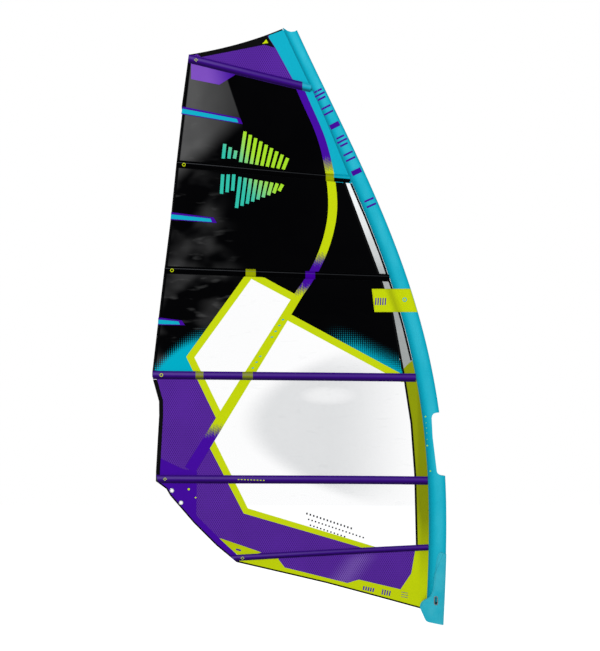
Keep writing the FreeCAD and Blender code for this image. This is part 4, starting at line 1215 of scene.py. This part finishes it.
# ---- stitches
def stitches(name, body, paths, face, lift, color="thread", pitch=7.0, length=4.5, width=0.8):
    """Rows of short threads along paths, each thread a small raised bar, sized in millimetres."""
    blocks = []
    for path in paths:
        path = np.array(path, float)
        where = np.concatenate([[0], np.cumsum(np.hypot(*(path[1:] - path[:-1]).T))])
        middles = np.arange(pitch * MM, where[-1] - pitch * MM, pitch * MM)
        (x, z), ahead = (np.stack([np.interp(s, where, path[:, i]) for i in (0, 1)])
                         for s in (middles, middles + 2 * MM))
        dx, dz = ahead - (x, z)
        size = np.maximum(np.hypot(dx, dz), 1e-9)
        dx, dz = dx / size, dz / size
        corners = []
        for deep in (0.0, 0.5):
            shrink = 1.0 - 0.35 * deep
            for sl, sw in ((-1, -1), (1, -1), (1, 1), (-1, 1)):
                along, aside = sl * length * MM / 2 * shrink, sw * width * MM / 2 * shrink
                px, pz = x + dx * along - dz * aside, z + dz * along + dx * aside
                corners.append(np.stack([px, face(px, pz) - lift - deep * MM, pz], axis=1))
        blocks.append(np.stack(corners, axis=1).reshape(-1, 3))
    co = np.vstack(blocks)
    sides = ((3, 2, 1, 0), (4, 5, 6, 7), (1, 5, 4, 0), (2, 6, 5, 1), (3, 7, 6, 2), (0, 4, 7, 3))
    polys = [tuple(base + i for i in side) for base in range(0, len(co), 8) for side in sides]
    placed(mesh_object(name, co, polys, MAT[color], sharp=False), follow, body)


# ---- label, mini battens, webbing
def label():
    """The cloth sewn round the sleeve's rear seam onto the film."""
    corners = dense([(-0.536, 2.660), (0.1, 2.660), (0.1, 2.475), (-0.515, 2.477)])
    x, z = corners[:, 0], corners[:, 1]
    wide = sleeve_width(z)
    d = np.maximum(luff_x(z) - x, 3 * MM)
    u = np.where(d < wide, np.arccos(1 - 2 * np.clip(d / wide, 0, 1)) / math.pi * REACH, REACH + d - wide)
    flat, faces = triangulate([np.stack([-u, z], axis=1)], FINE)
    faces = turned(flat, faces)
    u, z = -flat[:, 0], flat[:, 1]
    wide = sleeve_width(z)
    d = np.where(u < REACH, wide * (1 - np.cos(math.pi * np.minimum(u / REACH, 1))) / 2, wide + u - REACH)
    x = luff_x(z) - d
    y = label_y(x, z)
    outer = np.stack([x, y - 0.9 * MM, z], axis=1)
    piece = skin_between("sleeve_label_cloth", outer, np.stack([x, y, z], axis=1), faces, "label", u)
    placed(piece, follow, "middle_sail", "sleeve_label")


def label_y(x, z):
    """y of the label's inner face: over the sleeve, then over the film and the seam's tape."""
    return np.minimum(sleeve_y(x, z), sheet_y(x, z) - 0.6 * MM) - 0.7 * MM


MINI = {1: ((-2.030, 4.069), (-1.582, 3.990), 0.030, 0.022, "head_sail"),
        2: ((-2.102, 3.233), (-1.789, 3.203), 0.029, 0.020, "upper_sail"),
        3: ((-2.196, 2.402), (-2.040, 2.392), 0.028, 0.018, "middle_sail")}
SLANT, TOOTH = 0.014, 0.012


def mini_battens():
    """Short pockets at the leech: a purple patch with a slanted end, and a zigzag cyan strip on it."""
    for n, (start, end, half0, half1, body) in MINI.items():
        start, end = np.array(start), np.array(end)
        length = math.hypot(*(end - start))
        along = (end - start) / length
        up = np.array((-along[1], along[0]))
        node = f"mini_batten_{n}"
        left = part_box(node)[0].x + 1.5 * MM

        def half(s):
            return half0 + (half1 - half0) * np.clip(s, 0, None) / length

        def place(s, q):
            return start + s * along + q * half(s) * up + (1 - q) * SLANT * max(s, 0) / length * along

        def face(x, z):
            s = (x - start[0]) * along[0] + (z - start[1]) * along[1]
            w = -(x - start[0]) * along[1] + (z - start[1]) * along[0]
            q = np.clip(w / half(s), -1, 1)
            return sheet_y(x, z) - 0.3 * MM - 4 * MM * (1 - q * q)

        first = (left - start[0]) / along[0]
        stations = np.linspace(first, length, 30)
        rim = [place(s, -1) for s in stations] + [place(s, 1) for s in stations[::-1]]
        patch = thin(node + "_patch", [rim], face, 0.0, 0.8 * MM, "patch", 0.010)
        teeth = int(length / TOOTH)
        bottom, top = [], []
        for k in range(2 * teeth + 1):
            reach = first + (length - 0.032 - first) * k / (2 * teeth)
            notch = 0.10 if k % 2 else 0.0
            bottom.append(place(reach, -0.80 + notch))
            top.append(place(reach, 0.48 - notch))
        strip = thin(node + "_strip", [bottom + top[::-1]], face, 0.8 * MM, 0.4 * MM, "cyan", 0.010)
        placed(merged(node + "_pocket", [patch, strip]), follow, body, node)


def webbing():
    """The strap that loops under the pulley's bar and up both sides of the tack corner."""
    low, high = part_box("tack_webbing")
    thick, near = 2 * MM, 4.4 * MM
    bar_y = (low.y + high.y) / 2
    outer = (high.y - low.y) / 2
    bend = low.z + outer
    middle = outer - thick / 2
    leg = [(-near - thick / 2, high.z), (-near - thick / 2, 0.150), (-near - thick / 2, 0.122),
           (-middle, (bend + 0.122) / 2), (-middle, bend)]
    turn = [(-middle * math.cos(a), bend - middle * math.sin(a)) for a in np.linspace(0, math.pi, 15)[1:-1]]
    path = np.array(leg + turn + [(-y, z) for y, z in leg[::-1]])
    path = split_edges(path, 4 * MM)
    tangent = np.gradient(path, axis=0)
    tangent /= np.hypot(tangent[:, 0], tangent[:, 1])[:, None]
    normal = np.stack([tangent[:, 1], -tangent[:, 0]], axis=1)
    across = np.array([0, 0.04, 0.2, 0.4, 0.6, 0.8, 0.96, 1.0])
    half = thick / 2 * np.array([0.45, 0.9, 1, 0.93, 0.93, 1, 0.9, 0.45])
    co = []
    for side in (1, -1):
        sheet = path[:, None, :] + side * half[None, :, None] * normal[:, None, :]
        x = np.tile(low.x + (high.x - low.x) * across, (len(path), 1))
        co.append(np.stack([x, bar_y + sheet[..., 0], sheet[..., 1]], axis=-1).reshape(-1, 3))
    faces = grid_faces(len(path), len(across))
    piece = skin_between("tack_webbing_strap", co[0], co[1], faces, "webbing")
    outward(piece)
    placed(piece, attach, "lower_sail", "tack_webbing")


def outward(obj):
    """Turns every face of a closed mesh outwards."""
    bm = bmesh.new()
    bm.from_mesh(obj.data)
    bmesh.ops.recalc_face_normals(bm, faces=bm.faces)
    bm.to_mesh(obj.data)
    bm.free()


label()
mini_battens()
webbing()


# ---- printed shapes
def row_of_bars(x, z, count, dx, dz, tall, width, lean=0.0):
    """Bars set side by side from (x, z), in millimetres."""
    return [[bar(x + i * dx - lean, z + i * dz - tall / 2, x + i * dx + lean, z + i * dz + tall / 2, width)]
            for i in range(count)]


STRIPE = 27                           # width of a stripe on the black film, in millimetres
# groups of bars on the sleeve: (metres up the sleeve, half length) of each bar
BAR_GROUPS = (((-0.030, 0.030), (0.0, 0.038), (0.030, 0.030)), ((-0.022, 0.036), (0.022, 0.036)),
              ((0.0, 0.036),))


def printed():
    """Every printed mark, as stripes, bars, rings, diamonds and dashes, placed in millimetres."""
    above, below = [], []
    for i in range(9):
        x = -1545 + 42 * i
        slope = 0.17 * (x + 1560)
        above.append([bar(x - 30, 3666 - slope, x + 6, 3905 - 26 * i, STRIPE)])
        below.append([bar(x - 62, 3300 + 17 * i, x - 34, 3548 - slope, STRIPE)])
    for i in range(3):
        x = -1712 + 44 * i
        above.append([bar(x, 3690, x + 12, 3806 - 26 * i, STRIPE)])
        below.append([bar(x - 14, 3412 + 12 * i, x - 4, 3565, STRIPE)])
    decals("film_stripes_head", "head_sail", above, sheet_y, "stripes", 0.2)
    decals("film_stripes_upper", "upper_sail", below, sheet_y, "stripes", 0.2)

    for body, low, high in (("head_sail", 3.575, 4.260), ("upper_sail", 3.300, 3.445)):
        bars = []
        for i in range(8):
            z = 4.195 - 0.122 * i
            if not low < z < high:
                continue
            up = np.array((luff_x(z + 0.05) - luff_x(z - 0.05), 0.1)) * 10
            out = np.array((up[1], -up[0]))
            centre = np.array((luff_x(z) - 0.062, z))
            for k, reach in BAR_GROUPS[i % 3]:
                a, b = (centre + k * up + sign * reach * out for sign in (-1, 1))
                thick = 40 if i % 3 == 2 else 15
                bars.append([bar(a[0] / MM, a[1] / MM, b[0] / MM, b[1] / MM, thick)])
        decals("sleeve_bars_" + body.split("_")[0], body, bars, sleeve_y, "patch", 0.3)

    dots = [ring(x, z, 6, 0) for x, z in ((-113, 1650), (-99, 1421), (-75, 1219))]
    dots += [ring(x, z, 3, 0) for x, z in ((-108, 1600), (-106, 1560), (-103, 1520), (-101, 1470))]
    decals("sleeve_dots", "lower_sail", dots, sleeve_y, "stripes", 0.3)

    for n, x, z in ((1, -1926, 4467), (2, -2022, 3640), (3, -2116, 2806), (4, -2200, 1979), (5, -2171, 1157),
                    (6, -1560, 531)):
        shape = [diamond(x, z, 30, 26, 5)] if n in (1, 5, 6) else [ring(x, z, 14, 9)]
        decals(f"pocket_mark_{n}", BODY_OF[n], shape, pocket_y(n), "yellow_tape", 0.2)
    decals("pocket_dashes_5", "lower_sail", row_of_bars(-1591, 1153, 9, 25, -1.0, 7, 13), pocket_y(5),
           "yellow_tape", 0.2)

    foot = row_of_bars(-601, 292, 5, 19, -4, 30, 10, 4) + row_of_bars(-452, 262, 4, 19, -4, 40, 9, 4)
    foot += [[bar(-303, 262 - 18 * i, -252, 252 - 18 * i, 3)] for i in range(3)]
    decals("foot_band_marks", "lower_sail", foot, sheet_y, "patch", 1.1)
    decals("foot_patch_mark", "lower_sail", [[bar(-1610, 601, -1572, 590, 12)]], sheet_y, "patch", 1.1)
    decals("clew_marks", "lower_sail", [ring(-1984, 1076, 9, 0), diamond(-1930, 1010, 16, 16, 0)], sheet_y,
           "yellow_tape", 1.0)
    dashes = []
    for x, z, dx, dz in ((-1240, 2414, -29, -46), (-1420, 2124, -29, -46)):
        dashes += [[bar(x + i * dx - 9, z + i * dz, x + i * dx + 9, z + i * dz + 4, 8)] for i in range(4)]
    decals("band_dashes_middle", "middle_sail", dashes, sheet_y, "cyan", 0.9)
    decals("window_diamond", "lower_sail", [diamond(-1742, 1634, 62, 62, 5)], sheet_y, "thread_dark", 0.2)
    lines = []
    for row, (count, tall) in enumerate(((14, 16), (17, 12), (11, 12))):
        lines += row_of_bars(-1050 + 14 * row, 880 - 46 * row, count, 27, -9, tall, 12, 0)
    decals("window_dashes", "lower_sail", lines, sheet_y, "thread_dark", 0.2)
    decals("label_bars", "middle_sail", row_of_bars(-505, 2560, 5, 19, 0, 56, 9, 2), label_y, "patch", 1.0)
    decals("label_ring", "middle_sail", [ring(-278, 2574, 17, 11)], label_y, "cyan", 1.0)
    decals("head_triangle", "head_sail", [[[(-1.404, 4.598), (-1.356, 4.606), (-1.372, 4.634)]]], sheet_y,
           "yellow_tape", 0.9)


printed()


# ---- seams sewn through
SEAM_ENDS = (0.240, 4.700)            # heights between which the sleeve's rear seam is sewn


def sewn():
    """Two rows of thread along each pocket and rear seam, and rows round the flap and the label."""
    for n in BATTEN:
        start, along, length = batten_frame(n)
        up = np.array((-along[1], along[0]))
        half = POCKET_HALF[n] - 2.2 * MM
        rows = [[start + s * along + q * half * up for s in np.linspace(0.02, length - 0.01, 40)]
                for q in (-1, 1)]
        stitches(f"pocket_stitches_{n}", BODY_OF[n], rows, pocket_y(n), 0.0,
                 "thread_dark" if n in BLACK_POCKETS else "thread")
    for body in SECTIONS:
        low = SEAM_ENDS[0] if body == SECTIONS[0] else seam_cut(CUT_BELOW[body])[1]
        high = SEAM_ENDS[1] if body == SECTIONS[-1] else seam_cut(CUT_ABOVE[body])[1]
        z = np.linspace(low + 0.01, high - 0.01, 120)
        rows = [np.stack([rear_x(z) + off, z], axis=1) for off in (4 * MM, 11 * MM)]
        stitches("sleeve_stitches_" + body.split("_")[0], body, rows, sleeve_y, 0.0, "thread_dark")
    line = dense(HEEL + TONGUE[:-2], 4 * MM) + np.array((0.006, -0.001))
    stitches("flap_stitches", "tack_flap", [line[:-2]], fairing_y, 0.0, "thread_dark", 6.0, 3.8, 0.9)
    rim = [[(-0.530, 2.653), (-0.240, 2.653)], [(-0.510, 2.484), (-0.190, 2.482)],
           [(-0.529, 2.650), (-0.510, 2.484)]]
    stitches("label_stitches", "middle_sail", rim, label_y, 0.9 * MM, "thread_dark")


sewn()

# ---- carried-over CAD nodes
CAD_LOOKS = {**{f"batten_{n}": "composite" for n in BATTEN},
             "tensioner": "black_plastic", "tension_slider": "grey_plastic",
             "tension_screw": "steel", "clew_eyelets": "steel", "flap_eyelet": "grey_plastic",
             "pulley_frame": "steel", "pulley_sheave": "grey_plastic", "head_cap": "black_plastic"}
for node, obj in frame["nodes"].items():
    for prefix, look in CAD_LOOKS.items():
        if node.startswith(prefix):
            obj.data.materials.clear()
            obj.data.materials.append(MAT[look])


# ---- stage, light and camera
def stage():
    """A wide pale floor that glows, so that it stays as light as the background."""
    bpy.ops.mesh.primitive_plane_add(size=40.0, location=(-1.1, 0, -0.001))
    floor = bpy.context.object
    floor.name = "floor"
    s = Shader("floor_paint", 0.9, specular=0.0, cad=True)
    s.color(s.mix(s.noise(0.8), (0.33, 0.33, 0.33), (0.36, 0.36, 0.36)))
    s.bsdf.inputs["Emission Color"].default_value = (1, 1, 1, 1)
    s.bsdf.inputs["Emission Strength"].default_value = 0.88
    floor.data.materials.append(s.material)


def world():
    """White to the camera, a softer white to everything it lights."""
    w = bpy.data.worlds.new("studio")
    w.use_nodes = True
    bpy.context.scene.world = w
    tree = w.node_tree
    tree.nodes.clear()
    seen = tree.nodes.new("ShaderNodeBackground")
    seen.inputs["Color"].default_value = (1, 1, 1, 1)
    lit = tree.nodes.new("ShaderNodeBackground")
    lit.inputs["Color"].default_value = (0.95, 0.97, 1.0, 1)
    lit.inputs["Strength"].default_value = 0.49
    path = tree.nodes.new("ShaderNodeLightPath")
    mix = tree.nodes.new("ShaderNodeMixShader")
    out = tree.nodes.new("ShaderNodeOutputWorld")
    tree.links.new(path.outputs["Is Camera Ray"], mix.inputs[0])
    tree.links.new(lit.outputs[0], mix.inputs[1])
    tree.links.new(seen.outputs[0], mix.inputs[2])
    tree.links.new(mix.outputs[0], out.inputs[0])


def lamp(name, place, target, width, height, power):
    """A rectangular area light that points at a target."""
    data = bpy.data.lights.new(name, "AREA")
    data.shape = "RECTANGLE"
    data.size, data.size_y, data.energy = width, height, power
    obj = bpy.data.objects.new(name, data)
    obj.location = place
    obj.rotation_mode = "QUATERNION"
    obj.rotation_quaternion = (Vector(target) - Vector(place)).to_track_quat("-Z", "Y")
    bpy.context.scene.collection.objects.link(obj)


VIEW_CENTRE = Vector((-1.105, 0.0, 2.370))
VIEW_WIDTH, DISTANCE, SENSOR = 4.74, 30.0, 36.0


def camera():
    """Square on to the sail, from far enough away to flatten perspective."""
    data = bpy.data.cameras.new("camera")
    data.sensor_fit = "HORIZONTAL"
    data.sensor_width = SENSOR
    data.lens = SENSOR * DISTANCE / VIEW_WIDTH
    data.clip_end = 200
    obj = bpy.data.objects.new("camera", data)
    obj.location = VIEW_CENTRE - Vector((0, DISTANCE, 0))
    obj.rotation_euler = (math.pi / 2, 0, 0)
    bpy.context.scene.collection.objects.link(obj)
    bpy.context.scene.camera = obj


stage()
world()
LIT_POINT = (-1.1, 0, 2.4)
lamp("key", (-5.0, -6.0, 7.5), LIT_POINT, 3.0, 3.0, 325)
lamp("fill", (5.0, -7.0, 3.0), LIT_POINT, 3.0, 5.0, 88)
lamp("rim", (-2.0, 7.0, 6.0), LIT_POINT, 4.0, 2.0, 200)
camera()
bpy.context.scene.view_settings.view_transform = "Standard"
